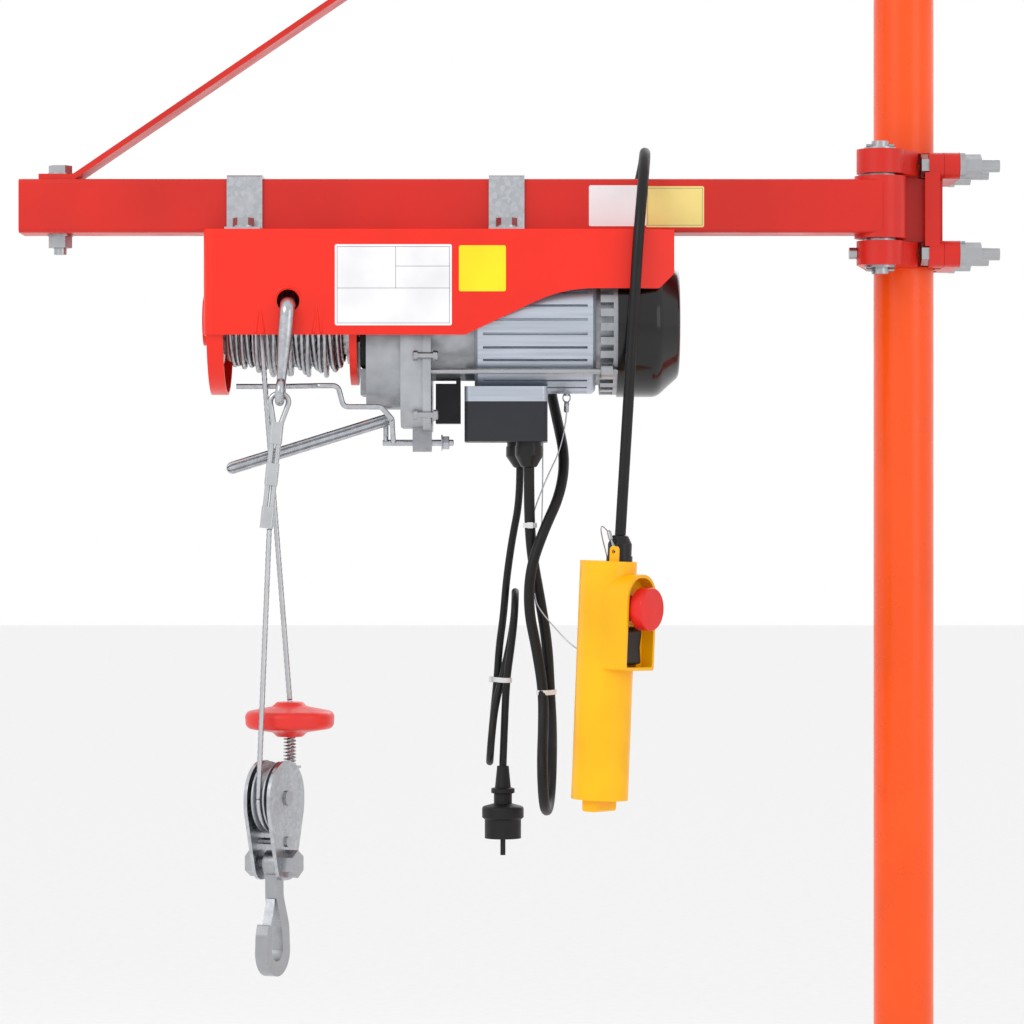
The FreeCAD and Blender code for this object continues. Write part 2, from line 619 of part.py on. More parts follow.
def out(text):
    """A place across the hoist, counted from the arm's centre plane."""
    return f"(pivot_y + {text})"


# Arm: a square tube with a pivot barrel, open at its far end
def make_beam():
    half = "beam_side / 2"
    tube = plate("YZ", [(f"-{half}", f"-{half}", "beam_round"), (half, f"-{half}", "beam_round"),
                        (half, half, "beam_round"), (f"-{half}", half, "beam_round")],
                 "pivot_x - beam_tip", ("beam_tip", JIB_Y, "beam_z"), centred=False)
    inner = f"({half} - beam_wall)"
    hollow = outline(sketch_on(tube, "YZ"), rectangle(f"-{inner}", f"-{inner}", inner, inner))
    pocket(tube, hollow, "pivot_x - beam_tip - barrel_r - beam_wall", centred=False, backward=True)
    barrel = rod("barrel_r", "2 * barrel_half", ("pivot_x", JIB_Y, "beam_z - barrel_half"))
    bore = rod("pin_d / 2 + run", "2 * barrel_half + 2", ("pivot_x", JIB_Y, "beam_z - barrel_half - 1"))
    hole = rod("brace_bolt_d / 2 + slip", "beam_side + 2", ("brace_bolt_x", JIB_Y, f"{UNDER} - 1"))
    keep(less(fused(tube, barrel), bore, hole), "beam")


# Tie bar: a flat bar bent to a foot on the arm's end and welded to the upper pivot barrel
def make_brace():
    low, high = "brace_thick", "(upper_rise - beam_side / 2)"
    run_x = "(pivot_x - brace_bend)"
    bar = plate("XZ", [("brace_tab", "0"), ("brace_bend + brace_thick / 3", "0"), ("pivot_x", high),
                       ("pivot_x", f"{high} + brace_thick * 1.2"), ("brace_bend", low), ("brace_tab", low)],
                "brace_wide", (0, JIB_Y, OVER))
    upper = "(beam_z + upper_rise)"
    barrel = rod("barrel_r", "2 * barrel_half", ("pivot_x", JIB_Y, f"{upper} - barrel_half"))
    bore = rod("pin_d / 2 + run", "2 * barrel_half + 2", ("pivot_x", JIB_Y, f"{upper} - barrel_half - 1"))
    hole = rod("brace_bolt_d / 2 + slip", "brace_thick + 2", ("brace_bolt_x", JIB_Y, f"{OVER} - 1"))
    keep(less(fused(bar, barrel), bore, hole), "brace")
    at = ("brace_bolt_x", JIB_Y)
    keep(fused(rod("brace_washer_d / 2", "pin_washer", (*at, f"{OVER} + brace_thick")),
               hexagon("bolt_af", "bolt_head", (*at, f"{OVER} + brace_thick + pin_washer")),
               rod("brace_bolt_d / 2", "beam_side + brace_thick + 20", (*at, f"{UNDER} - 19")),
               rod("brace_washer_d / 2", "pin_washer", (*at, f"{UNDER} - pin_washer")),
               hexagon("bolt_af", "bolt_d * 0.9", (*at, f"{UNDER} - pin_washer - bolt_d * 0.9"))), "brace_bolt")


STRAPS = ("strap_one", "strap_two")
STRAP_BOLTS = [(strap, side) for strap in STRAPS for side in (-1, 1)]


def strap_bolt_y(side):
    return out(f"{side} * (beam_side / 2 + strap_thick + strap_bolt_out)")


# Two straps over the arm that carry the hoist, and their bolts
def make_straps():
    straps, bolts = [], []
    inner = "(beam_side / 2 + slip)"
    outer = f"({inner} + strap_thick)"
    foot = f"({outer} + strap_foot)"
    section = [(f"-{foot}", 0), (f"-{inner}", 0), (f"-{inner}", "beam_side + slip"), (inner, "beam_side + slip"),
               (inner, 0), (foot, 0), (foot, "strap_thick"), (outer, "strap_thick"),
               (outer, "beam_side + slip + strap_thick", 4), (f"-{outer}", "beam_side + slip + strap_thick", 4),
               (f"-{outer}", "strap_thick"), (f"-{foot}", "strap_thick")]
    for strap in STRAPS:
        band = plate("YZ", section, "strap_wide", (hoist(f"{strap} - strap_wide / 2"), JIB_Y, UNDER), centred=False)
        holes = [rod("strap_bolt_d / 2 + slip", "strap_thick + 2", (hoist(strap), strap_bolt_y(side), f"{UNDER} - 1"))
                 for side in (-1, 1)]
        straps.append(less(band, *holes))
    for strap, side in STRAP_BOLTS:
        at = (hoist(strap), strap_bolt_y(side))
        bolts.append(fused(hexagon("strap_head_af", "strap_bolt_d * 0.7", (*at, f"{UNDER} + strap_thick + 2")),
                           rod("strap_bolt_d", 2, (*at, f"{UNDER} + strap_thick")),
                           rod("strap_bolt_d / 2", "strap_thick + cover_wall + strap_bolt_d + 4",
                               (*at, f"{UNDER} - cover_wall - strap_bolt_d - 3")),
                           hexagon("strap_head_af", "strap_bolt_d * 0.8", (*at, f"{UNDER} - cover_wall - strap_bolt_d * 0.8"))))
    keep(together(*straps), "straps")
    keep(together(*bolts), "strap_bolts")


# Hoist cover: a folded sheet open below, deep over the drum and shallow over the motor
def make_cover():
    body = new_body(("hoist_x", JIB_Y, UNDER))
    side_view = [(0, 0), ("cover_long", 0), ("cover_long", "-cover_shallow + tail_cut", 6),
                 ("cover_long - tail_cut", "-cover_shallow", 6), ("cover_rise", "-cover_shallow", "cover_sweep"),
                 ("cover_step", "-cover_deep"), (0, "-cover_deep")]
    pad(body, outline(sketch_on(body, "XZ"), side_view), "cover_wide")
    narrow = "(cover_narrow / 2)"
    for side in (-1, 1):
        wedge = [("cover_crease", f"{side} * cover_wide / 2"), ("cover_long + 1", f"{side} * {narrow}"),
                 ("cover_long + 1", f"{side} * (cover_wide / 2 + 1)"), ("cover_crease", f"{side} * (cover_wide / 2 + 1)")]
        pocket(body, outline(sketch_on(body, "XY"), wedge), "2 * cover_deep + 2")
    soften(body, "cover_bend", lambda edge: upright(edge) and abs(edge.Vertexes[0].X) < 0.1)
    inner = "(cover_wide / 2 - cover_wall)"
    tail = f"({narrow} - cover_wall)"
    room = [("cover_wall", f"-{inner}", "cover_bend - cover_wall"), ("cover_crease", f"-{inner}"),
            ("cover_long + 2", f"-{tail}"), ("cover_long + 2", tail), ("cover_crease", inner),
            ("cover_wall", inner, "cover_bend - cover_wall")]
    sketch = outline(sketch_at(body, "XY", "-cover_wall"), room)
    pocket(body, sketch, "cover_deep", centred=False)
    across = circle(sketch_on(body, "XZ"), ("hook_hole_x", "-hook_hole_drop"), "hook_hole_d / 2")
    pocket(body, across, "cover_wide", centred=False, backward=True)
    boss = circle(sketch_on(body, "YZ"), (0, "-drum_drop"), "boss_r + slip")
    pocket(body, boss, "4 * cover_wall")
    for strap, side in STRAP_BOLTS:
        hole = circle(sketch_on(body, "XY"), (strap, f"{side} * (beam_side / 2 + strap_thick + strap_bolt_out)"),
                      "strap_bolt_d / 2 + slip")
        pocket(body, hole, "4 * cover_wall")
    keep(body, "hoist_cover")


# Bearing plates of the drum: round-ended pressings with a rim, hung inside the cover
def make_bearings():
    plates = []
    inside = "(cover_wide / 2 - cover_wall - slip)"
    web_one = "cover_wall + slip"
    web_two = "drum_bay - bearing_wall"
    for start, rim, end_r, way in ((web_one, "bearing_rim", "bearing_r", 1), (web_two, "bearing_rim_two", "bearing_r_two", -1)):
        body = new_body((hoist(start), JIB_Y, below("drum_drop")))
        top = "(drum_drop - cover_wall - slip)"
        half = f"({inside} - slip)" if way > 0 else f"{end_r}"
        arch = [(f"-{half}", top), (f"-{half}", f"-{end_r}", f"{end_r} - 1"), (half, f"-{end_r}", f"{end_r} - 1"), (half, top)]
        hollow = f"({half} - bearing_wall)"
        end_in = f"({end_r} - bearing_wall)"
        inner = [(f"-{hollow}", f"{top} + 1"), (f"-{hollow}", f"-{end_in}", f"{end_in} - 1"),
                 (hollow, f"-{end_in}", f"{end_in} - 1"), (hollow, f"{top} + 1")]
        back = way < 0
        if back:
            pad(body, outline(sketch_at(body, "YZ", "bearing_wall"), arch), rim, centred=False, backward=True)
            pocket(body, outline(sketch_on(body, "YZ"), inner), rim, centred=False)
        else:
            pad(body, outline(sketch_on(body, "YZ"), arch), rim, centred=False)
            pocket(body, outline(sketch_at(body, "YZ", "bearing_wall"), inner), rim, centred=False, backward=True)
            pad(body, circle(sketch_on(body, "YZ"), (0, 0), "boss_r"), "boss_out + cover_wall", centred=False, backward=True)
        pocket(body, circle(sketch_on(body, "YZ"), (0, 0), "shaft_d / 2 + run"), "bearing_rim * 2")
        plates.append(body)
    keep(together(*plates), "drum_end_plates")


# Drum with flanges and shaft, and the rope wound on it as one scalloped sleeve
def make_drum():
    start = "(cover_wall + slip + bearing_wall + drum_gap)"
    stop = "(drum_bay - bearing_wall - drum_gap)"
    at = (hoist(start), JIB_Y, below("drum_drop"))
    long = f"({stop} - {start})"
    shaft = "(shaft_d / 2)"
    keep(turned([(f"-drum_gap - bearing_wall - boss_out", 0), (f"{long} + drum_gap + bearing_wall", 0),
                 (f"{long} + drum_gap + bearing_wall", shaft), (long, shaft), (long, "drum_flange_r"),
                 (f"{long} - drum_flange", "drum_flange_r"), (f"{long} - drum_flange", "drum_core_r"),
                 ("drum_flange", "drum_core_r"), ("drum_flange", "drum_flange_r"), (0, "drum_flange_r"),
                 (0, shaft), (f"-drum_gap - bearing_wall - boss_out", shaft)], at, axis="H_Axis"), "drum")
    turns = 20
    room = f"({long} - 2 * drum_flange - 2 * slip)"
    crests = []
    for turn in range(turns):
        crests.append((f"drum_flange + slip + {room} * {turn} / {turns}", "wind_r - rope_d * 0.45"))
        crests.append((f"drum_flange + slip + {room} * ({turn} + 0.5) / {turns}", "wind_r"))
    last = f"drum_flange + slip + {room}"
    keep(turned([*crests, (last, "wind_r - rope_d * 0.45"), (last, "drum_core_r + slip"),
                 ("drum_flange + slip", "drum_core_r + slip")], at, axis="H_Axis"), "rope_winding")


make_beam()
make_brace()
make_straps()
make_cover()
make_bearings()
make_drum()

GEAR = "(drum_bay + gasket_gap + gasket)"
FLANGE = f"({GEAR} + gear_long)"
JOINT = f"({FLANGE} + flange_long)"
BELL = f"({JOINT} + joint_long)"
MOTOR = f"({BELL} + bell_long)"
RING = f"({MOTOR} + motor_long)"
FAN = f"({RING} + ring_gap + ring_long)"


def frame_plate(half, top, bottom, thick, start, corner):
    """A rounded plate across the hoist, from its top and bottom below the arm."""
    return plate("YZ", [(f"-{half}", f"-{bottom}", corner), (half, f"-{bottom}", corner),
                        (half, f"-{top}", 8), (f"-{half}", f"-{top}", 8)],
                 thick, (hoist(start), JIB_Y, UNDER), centred=False)


def pattern(body, feature, count):
    """Repeat a feature round the body's X axis."""
    ring = body.newObject("PartDesign::PolarPattern", "Pattern")
    ring.Originals = [feature]
    ring.Axis = (origin_of(body, "X_Axis"), [""])
    ring.Angle = 360
    bind(ring, Occurrences=count)
    body.Tip = ring
    return ring


# Gearbox: gasket, housing, flange, motor flange with the eye of the limit lever
def make_gearbox():
    keep(frame_plate("(gear_half - 2)", "(case_top + 4)", "(gear_drop - 38)", "gasket", "drum_bay + gasket_gap", 16),
         "gearbox_gasket")
    housing = frame_plate("gear_half", "case_top", "gear_drop", "gear_long", GEAR, 22)
    foot = block((hoist("drum_bay + gasket_gap"), out("-gear_half * 0.7"), below("gear_drop - 12")),
                 "gasket + 1", "gear_half * 1.4", "24")
    flange = frame_plate("flange_half", "case_top", "flange_drop", "flange_long", FLANGE, 20)
    joint = frame_plate("(flange_half + 3)", "(case_top - 3)", "joint_drop", "joint_long", JOINT, 20)
    bell = rod("bell_r", "bell_long", (hoist(BELL), JIB_Y, below("motor_drop")), "X")
    nose = rod("shaft_d / 2 + 5", "gasket_gap + gasket + 1", (hoist("drum_bay"), JIB_Y, below("drum_drop")), "X")
    eye = rod("lever_eye_r", "joint_long + flange_long / 2", (hoist(f"{JOINT} - flange_long / 2"), out("lever_out"), below("lever_drop")), "X")
    web = block((hoist(f"{JOINT} - flange_long / 2"), out("lever_out - lever_eye_r"), below("lever_drop")),
                "joint_long + flange_long / 2", "2 * lever_eye_r", "lever_drop - flange_drop + 5")
    bore = rod("lever_shaft_d / 2 + run", "joint_long + flange_long", (hoist(f"{JOINT} - flange_long"), out("lever_out"), below("lever_drop")), "X")
    keep(less(fused(housing, foot, flange, joint, bell, nose, eye, web), bore), "gearbox")


# Motor: a body with lengthwise fins, a slotted end ring and a bowl-shaped fan cover
def make_motor():
    axis = (JIB_Y, below("motor_drop"))
    motor = turned([(0, 0), ("motor_long", 0), ("motor_long", "motor_r - 3"), ("motor_long - 3", "motor_r"),
                    (3, "motor_r"), (0, "motor_r - 3")], (hoist(MOTOR), *axis), axis="H_Axis")
    groove = rectangle("-fin_gap / 2", "motor_r - fin_deep", "fin_gap / 2", "motor_r + 2")
    cut = pocket(motor, outline(sketch_at(motor, "YZ", "8"), groove), "motor_long - 16", centred=False, backward=True)
    pattern(motor, cut, "fin_count")
    keep(motor, "motor_body")
    core = "(ring_r - 9)"
    ring = turned([(0, 0), ("ring_gap + ring_long", 0), ("ring_gap + ring_long", "ring_r"),
                   ("ring_gap", "ring_r"), ("ring_gap", core), (0, core)], (hoist(RING), *axis), axis="H_Axis")
    slot = rectangle("-ring_slot / 2", core, "ring_slot / 2", "ring_r + 2")
    cut = pocket(ring, outline(sketch_at(ring, "YZ", "ring_gap"), slot), "ring_long * 0.75", centred=False, backward=True)
    pattern(ring, cut, "fin_count")
    keep(ring, "motor_end_ring")
    inner = [(0, "fan_r - fan_wall"), ("fan_long * 0.62", "fan_r - fan_wall", 12),
             ("fan_long - fan_wall", "fan_face_r - 1", 6), ("fan_long - fan_wall", 6)]
    outer = [("fan_long", 6), ("fan_long", "fan_face_r", 8), ("fan_long * 0.64", "fan_r", 14), (0, "fan_r")]
    keep(turned([*inner, *outer], (hoist(FAN), *axis), axis="H_Axis"), "fan_cover")


# Junction box under the motor, its two cable glands and the limit switch beside it
def make_boxes():
    half = "(box_wide / 2)"
    plan = [("box_x", f"-{half}", "box_round"), ("box_x + box_long", f"-{half}", "box_round"),
            ("box_x + box_long", half, "box_round"), ("box_x", half, "box_round")]
    at = ("hoist_x", JIB_Y)
    base = plate("XY", plan, "box_base", (*at, below("box_top + box_base")), centred=False)
    motor = rod("motor_r + slip", "motor_long + 4", (hoist(f"{MOTOR} - 2"), JIB_Y, below("motor_drop")), "X")
    bell = rod("bell_r + slip", "bell_long + 4", (hoist(f"{BELL} - 2"), JIB_Y, below("motor_drop")), "X")
    keep(less(base, motor), "junction_box_base")
    cover = plate("XY", plan, "box_drop - box_top - box_base", (*at, below("box_drop")), centred=False)
    keep(cover, "junction_box_cover")
    glands = []
    for x, side, cable in (("gland_a_x", "gland_a_out", "cable_d"), ("gland_b_x", "gland_b_out", "mains_d")):
        glands.append(turned([(0, 0), ("gland_hex / 2 - 1", 0), ("gland_hex / 2 - 1", -4), ("gland_hex / 2", -4),
                              ("gland_hex / 2", "-gland_long * 0.55", 2), (f"{cable} / 2 + 2", "-gland_long", 3),
                              (0, "-gland_long")], (hoist(x), out(side), below("box_drop"))))
    keep(together(*glands), "cable_glands")
    switch = block((hoist("switch_x"), out("-switch_wide / 2"), below("switch_top + switch_tall")),
                   "switch_long", "switch_wide", "switch_tall")
    hanger = block((hoist("switch_x + switch_long"), out("-switch_wide / 2"), below("switch_top + switch_tall")),
                   "4", "switch_wide", "switch_tall + 18")
    keep(less(fused(switch, hanger), bell), "limit_switch")


def size(word):
    """A size as it stands in the sheet."""
    return float(getattr(sheet, word))


def tube(points, radius, bends=None):
    """A round bar or cord along straight runs joined by tangent arcs; with no bend radii given,
    each arc is as large as its two runs allow."""
    points = [Vector(*point) for point in points]
    here, edges, bends_made = points[0], [], []
    for i in range(1, len(points) - 1):
        back, ahead = points[i - 1] - points[i], points[i + 1] - points[i]
        half_turn = (math.pi - back.getAngle(ahead)) / 2
        cut = 0.45 * min(back.Length, ahead.Length) if bends is None else bends * math.tan(half_turn)
        bend = cut / math.tan(half_turn)
        bends_made.append(round(bend))
        back.normalize()
        ahead.normalize()
        start, stop = points[i] + back * cut, points[i] + ahead * cut
        inward = (back + ahead).normalize()
        middle = points[i] + inward * (bend / math.cos(half_turn) - bend)
        edges += [Part.LineSegment(here, start).toShape(), Part.Arc(start, middle, stop).toShape()]
        here = stop
    edges.append(Part.LineSegment(here, points[-1]).toShape())
    path = Part.Wire(edges)
    ring = Part.Wire(Part.Circle(points[0], (points[1] - points[0]).normalize(), radius).toShape())
    return path.makePipeShell([ring], True, False), (path.Length, bends_made)


def feature(shape, label=None, at=None, turn=None):
    """A piece whose shape is worked out from the sheet's sizes."""
    thing = doc.addObject("Part::Feature", "Bent")
    thing.Shape = shape
    return keep(thing, label, at, turn) if label else thing


def from_hoist(across, along, down):
    """A point of the hoist: across from the centre plane, along from its left end, down from the arm."""
    return Vector(size("hoist_x") + along, size("pivot_y") + across, size("beam_z") - size("beam_side") / 2 - down)


# Rope-end hook in the cover's front wall, the looped rope end with its ferrules, and the two rope falls
def make_rope_end():
    radius = size("end_hook_d") / 2
    along = size("hook_hole_x")
    rest = size("hook_hole_drop") + size("hook_hole_d") / 2 - radius - 0.3
    front = size("cover_wide") / 2
    inside, outside = size("end_hook_in") - front, -front - size("end_hook_gap")
    eye = size("end_eye_drop")
    shank_end = eye - size("end_eye_r") - size("end_eye_d") / 2
    bar, _ = tube([from_hoist(inside, along, rest + 24), from_hoist(inside, along, rest),
                   from_hoist(outside, along, rest), from_hoist(outside, along, rest + 30)], radius, 9.0)
    top, low = from_hoist(outside, along, rest + 29), from_hoist(outside, along, shank_end + 4)
    taper = Part.makeCone(radius, size("end_eye_d") / 2, (low - top).Length, top, low - top)
    ring = Part.makeTorus(size("end_eye_r"), size("end_eye_d") / 2, from_hoist(outside, along, eye), Vector(1, 0, 0))
    pivot = from_hoist(outside, along, rest)
    hook = bar.fuse([taper, ring]).removeSplitter()
    hook.rotate(pivot, Vector(0, 1, 0), size("end_hook_lean"))
    feature(hook, "rope_end_hook")
    rope = size("rope_d") / 2
    strand, loop = rope + 0.4, size("thimble_r")
    loop_end, _ = tube([(-strand, 0, -29), (-loop - 3, 0, 0), (loop + 3, 0, 0), (strand, 0, -29)], rope, loop)
    pieces = [loop_end]
    for middle in (-36, -74, -113.5):
        sleeve = Part.makeBox(size("ferrule_wide"), size("ferrule_thick"), size("ferrule_long"),
                              Vector(-size("ferrule_wide") / 2, -size("ferrule_thick") / 2, middle - size("ferrule_long") / 2))
        pieces.append(sleeve.makeFillet(2.5, [edge for edge in sleeve.Edges if upright(edge)]))
    for side in (-1, 1):
        pieces.append(Part.makeCylinder(rope, 89, Vector(side * strand, 0, -116.5)))
    whole = pieces[0].fuse(pieces[1:])
    hang = eye + size("end_eye_r") - size("end_eye_d") / 2 - rope - 0.6 - rest
    seat = pivot + Rotation(Vector(0, 1, 0), size("end_hook_lean")).multVec(Vector(0, 0, -hang))
    lean = Rotation(Vector(0, 1, 0), size("rope_end_lean"))
    thing = feature(whole, "rope_end")
    thing.Placement = Placement(seat, lean)
    return seat + lean.multVec(Vector(strand, 0, -113.5 - size("ferrule_long") / 2 - size("rope_joint")))


BLOCK_AT = ("block_x", out("block_out"), below("block_drop"))
BLOCK_TURN = Rotation(Vector(0, 0, 1), VALUES["block_turn"])


def in_block(across, back, up):
    """A point given across, behind and above the sheave's centre."""
    centre = Vector(size("block_x"), size("pivot_y") + size("block_out"),
                    size("beam_z") - size("beam_side") / 2 - size("block_drop"))
    return centre + BLOCK_TURN.multVec(Vector(across, back, up))


def rope_between(top, low):
    return Part.makeCylinder(size("rope_d") / 2, (low - top).Length, top, low - top)


# The drum's fall goes down behind the sheave, through the stop disc; the other one comes from the rope end
def make_falls(anchor):
    wind = size("wind_r") + size("rope_d") / 2 + 0.4
    drum = from_hoist(-wind, size("rope_exit"), size("drum_drop"))
    disc_top = size("disc_rise") + size("disc_hub") + 1 + size("rope_joint")
    feature(rope_between(drum, in_block(0, size("sheave_pitch"), disc_top)), "rope_fall_drum")
    feature(rope_between(anchor, in_block(0, -size("sheave_pitch"), size("rope_joint"))), "rope_fall_anchor")


# Rope block: sheave between two plates, main bolt, stop disc on a spring
def make_block():
    half_gap = "(plate_gap / 2)"
    side = [("-plate_r", "plate_r", "plate_r - 0.5"), ("plate_r", "plate_r", "plate_r - 0.5"),
            ("plate_r", "-plate_r * 0.3", 30), ("plate_foot_r", "-block_bolt_drop - plate_foot_r", "plate_foot_r - 0.5"),
            ("-plate_foot_r", "-block_bolt_drop - plate_foot_r", "plate_foot_r - 0.5"), ("-plate_r", "-plate_r * 0.3", 30)]
    holes = [(0, 0, "sheave_bore / 2 + slip"), (0, "-block_bolt_drop", "block_bolt_d / 2 + slip"),
             (0, "-spacer_drop", "spacer_d / 2 + slip")]
    left = plate("YZ", side, "plate_thick", (f"-{half_gap} - plate_thick", 0, 0), holes=holes, centred=False)
    right = plate("YZ", side, "plate_thick", (half_gap, 0, 0), holes=holes, centred=False)
    seat_low = "(sheave_r * 0.76)"
    seat = less(block((f"-{half_gap}", "sheave_pitch - spring_r - 1", seat_low), "plate_gap", "2 * spring_r - 2", 2.5),
                rod("rope_d / 2 + 0.8", 5, (0, "sheave_pitch", f"{seat_low} - 1")))
    keep(fused(left, right, seat), "block_plates", BLOCK_AT, BLOCK_TURN)
    bolts = []
    end = f"({half_gap} + plate_thick)"
    bolts.append(fused(rod("block_bolt_d / 2", f"2 * ({end} + block_bolt_head)", (f"-{end} - block_bolt_head", 0, "-block_bolt_drop"), "X"),
                       hexagon("block_bolt_af", "block_bolt_head", (end, 0, "-block_bolt_drop"), "X"),
                       hexagon("block_bolt_af", "block_bolt_head", (f"-{end} - block_bolt_head", 0, "-block_bolt_drop"), "X")))
    for height, bar in ((0, "sheave_bore"), ("-spacer_drop", "spacer_d")):
        bolts.append(fused(rod(f"{bar} / 2", f"2 * {end} + 4", (f"-{end} - 2", 0, height), "X"),
                           rod(f"{bar} / 2 + 2", 2, (end, 0, height), "X"),
                           rod(f"{bar} / 2 + 2", 2, (f"-{end} - 2", 0, height), "X")))
    keep(together(*bolts), "block_bolts", BLOCK_AT, BLOCK_TURN)
    root = "(sheave_pitch - rope_d / 2 - 0.4)"
    hub = "(plate_gap / 2 - 0.4)"
    rim = "(sheave_thick / 2)"
    bore = "(sheave_bore / 2 + run)"
    keep(turned([(f"-{hub}", bore), (hub, bore), (hub, "sheave_bore"), (rim, "sheave_bore + 2"), (rim, "sheave_r"),
                 ("rope_d / 2 + 2.4", "sheave_r"), ("rope_d / 2", root), ("-rope_d / 2", root),
                 ("-rope_d / 2 - 2.4", "sheave_r"), (f"-{rim}", "sheave_r"), (f"-{rim}", "sheave_bore + 2"),
                 (f"-{hub}", "sheave_bore")], BLOCK_AT, BLOCK_TURN, axis="H_Axis"), "sheave")
    pitch = size("sheave_pitch")
    low = Part.Arc(Vector(0, -pitch, 0), Vector(0, 0, -pitch), Vector(0, pitch, 0)).toShape()
    up = Part.LineSegment(Vector(0, pitch, 0), Vector(0, pitch, size("disc_rise") + size("disc_hub") + 1)).toShape()
    ring = Part.Wire(Part.Circle(Vector(0, -pitch, 0), Vector(0, 0, -1), size("rope_d") / 2).toShape())
    rope = Part.Wire([low, up]).makePipeShell([ring], True, False)
    feature(rope, "rope_on_sheave", BLOCK_AT, BLOCK_TURN)
    centre = in_block(0, pitch, size("disc_rise"))
    hole = "(rope_d / 2 + 0.5)"
    disc = turned([(hole, "-disc_hub"), ("disc_hub_r", "-disc_hub", 2), ("disc_hub_r + 4", "-disc_rim - 2", 6),
                   ("disc_r - 1", "-disc_rim + 2", 6), ("disc_r", "disc_rim - 3", 6), ("disc_hub_r + 4", "disc_rim + 2", 6),
                   ("disc_hub_r", "disc_hub", 2), (hole, "disc_hub")])
    disc.Placement = Placement(centre, Rotation())
    keep(disc, "stop_disc")
    low_z, high_z = 0.76 * size("sheave_r") + 2.7, size("disc_rise") - size("disc_hub") - 0.2
    wire = size("spring_wire") / 2
    turns = size("spring_turns")
    rise = high_z - low_z - 2 * wire
    helix = Part.makeHelix(rise / turns, rise, size("spring_r") - wire)
    start = Vector(size("spring_r") - wire, 0, 0)
    section = Part.Wire(Part.makePolygon([start + Vector(wire * math.cos(a), 0, wire * math.sin(a))
                                          for a in [math.radians(60 * k) for k in range(7)]]))
    coil = Part.Wire(helix).makePipeShell([section], True, True)
    spring = feature(coil, "disc_spring")
    spring.Placement = Placement(in_block(0, pitch, low_z + wire), BLOCK_TURN)


# Load hook on the main bolt, with its sheet latch
def make_hook():
    at = (BLOCK_AT[0], BLOCK_AT[1], below("block_drop + block_bolt_drop"))
    body = new_body(at, BLOCK_TURN)
    bowl_y = "(-3)"
    pad(body, circle(sketch_on(body, "YZ"), (bowl_y, "-hook_long"), "hook_bowl_r"), "hook_thick")
    pocket(body, circle(sketch_on(body, "YZ"), (f"{bowl_y} - 2", "-hook_long + 2"), "hook_mouth_r"), "2 * hook_thick")
    upper = rectangle("-2 * hook_bowl_r", "-hook_long", "2 * hook_bowl_r", "-hook_long + 2 * hook_bowl_r")
    pocket(body, outline(sketch_on(body, "YZ"), upper), "2 * hook_thick")
    shank = [("-hook_eye_r * 0.55", "-hook_eye_r * 0.4"), ("-hook_eye_r * 0.5", "-hook_long * 0.42", 20),
             ("hook_mouth_r * 0.35", "-hook_long * 0.74", 12), (f"{bowl_y} - 2 + hook_mouth_r", "-hook_long - 0.1"),
             (f"{bowl_y} + hook_bowl_r", "-hook_long - 0.1"), ("hook_bowl_r * 0.8", "-hook_long * 0.72", 30),
             ("hook_eye_r * 0.6", "-hook_long * 0.38", 20), ("hook_eye_r * 0.55", "-hook_eye_r * 0.4")]
    pad(body, outline(sketch_on(body, "YZ"), shank), "hook_thick")
    tip = [(f"{bowl_y} - hook_bowl_r", "-hook_long - 0.1"), (f"{bowl_y} - hook_bowl_r + 1", "-hook_long + 16", 8),
           (f"{bowl_y} - hook_bowl_r + 4", "-hook_long + 26", 2), (f"{bowl_y} - hook_mouth_r - 3", "-hook_long + 25", 2),
           (f"{bowl_y} - hook_mouth_r - 2", "-hook_long - 0.1")]
    pad(body, outline(sketch_on(body, "YZ"), tip), "hook_thick")
    pad(body, circle(sketch_on(body, "YZ"), (0, 0), "hook_eye_r"), "hook_thick")
    pocket(body, circle(sketch_on(body, "YZ"), (0, 0), "block_bolt_d / 2 + run"), "2 * hook_thick")
    keep(body, "hook")
    latch = plate("YZ", [("-hook_eye_r * 0.5 - 1", "-hook_long * 0.40"), ("-hook_eye_r * 0.5 - 0.4", "-hook_long * 0.44"),
                         (f"{bowl_y} - hook_mouth_r - 1.2", "-hook_long + 20"),
                         (f"{bowl_y} - hook_mouth_r - 2.6", "-hook_long + 20")],
                  "hook_thick - 3", at, BLOCK_TURN)
    keep(latch, "hook_latch")


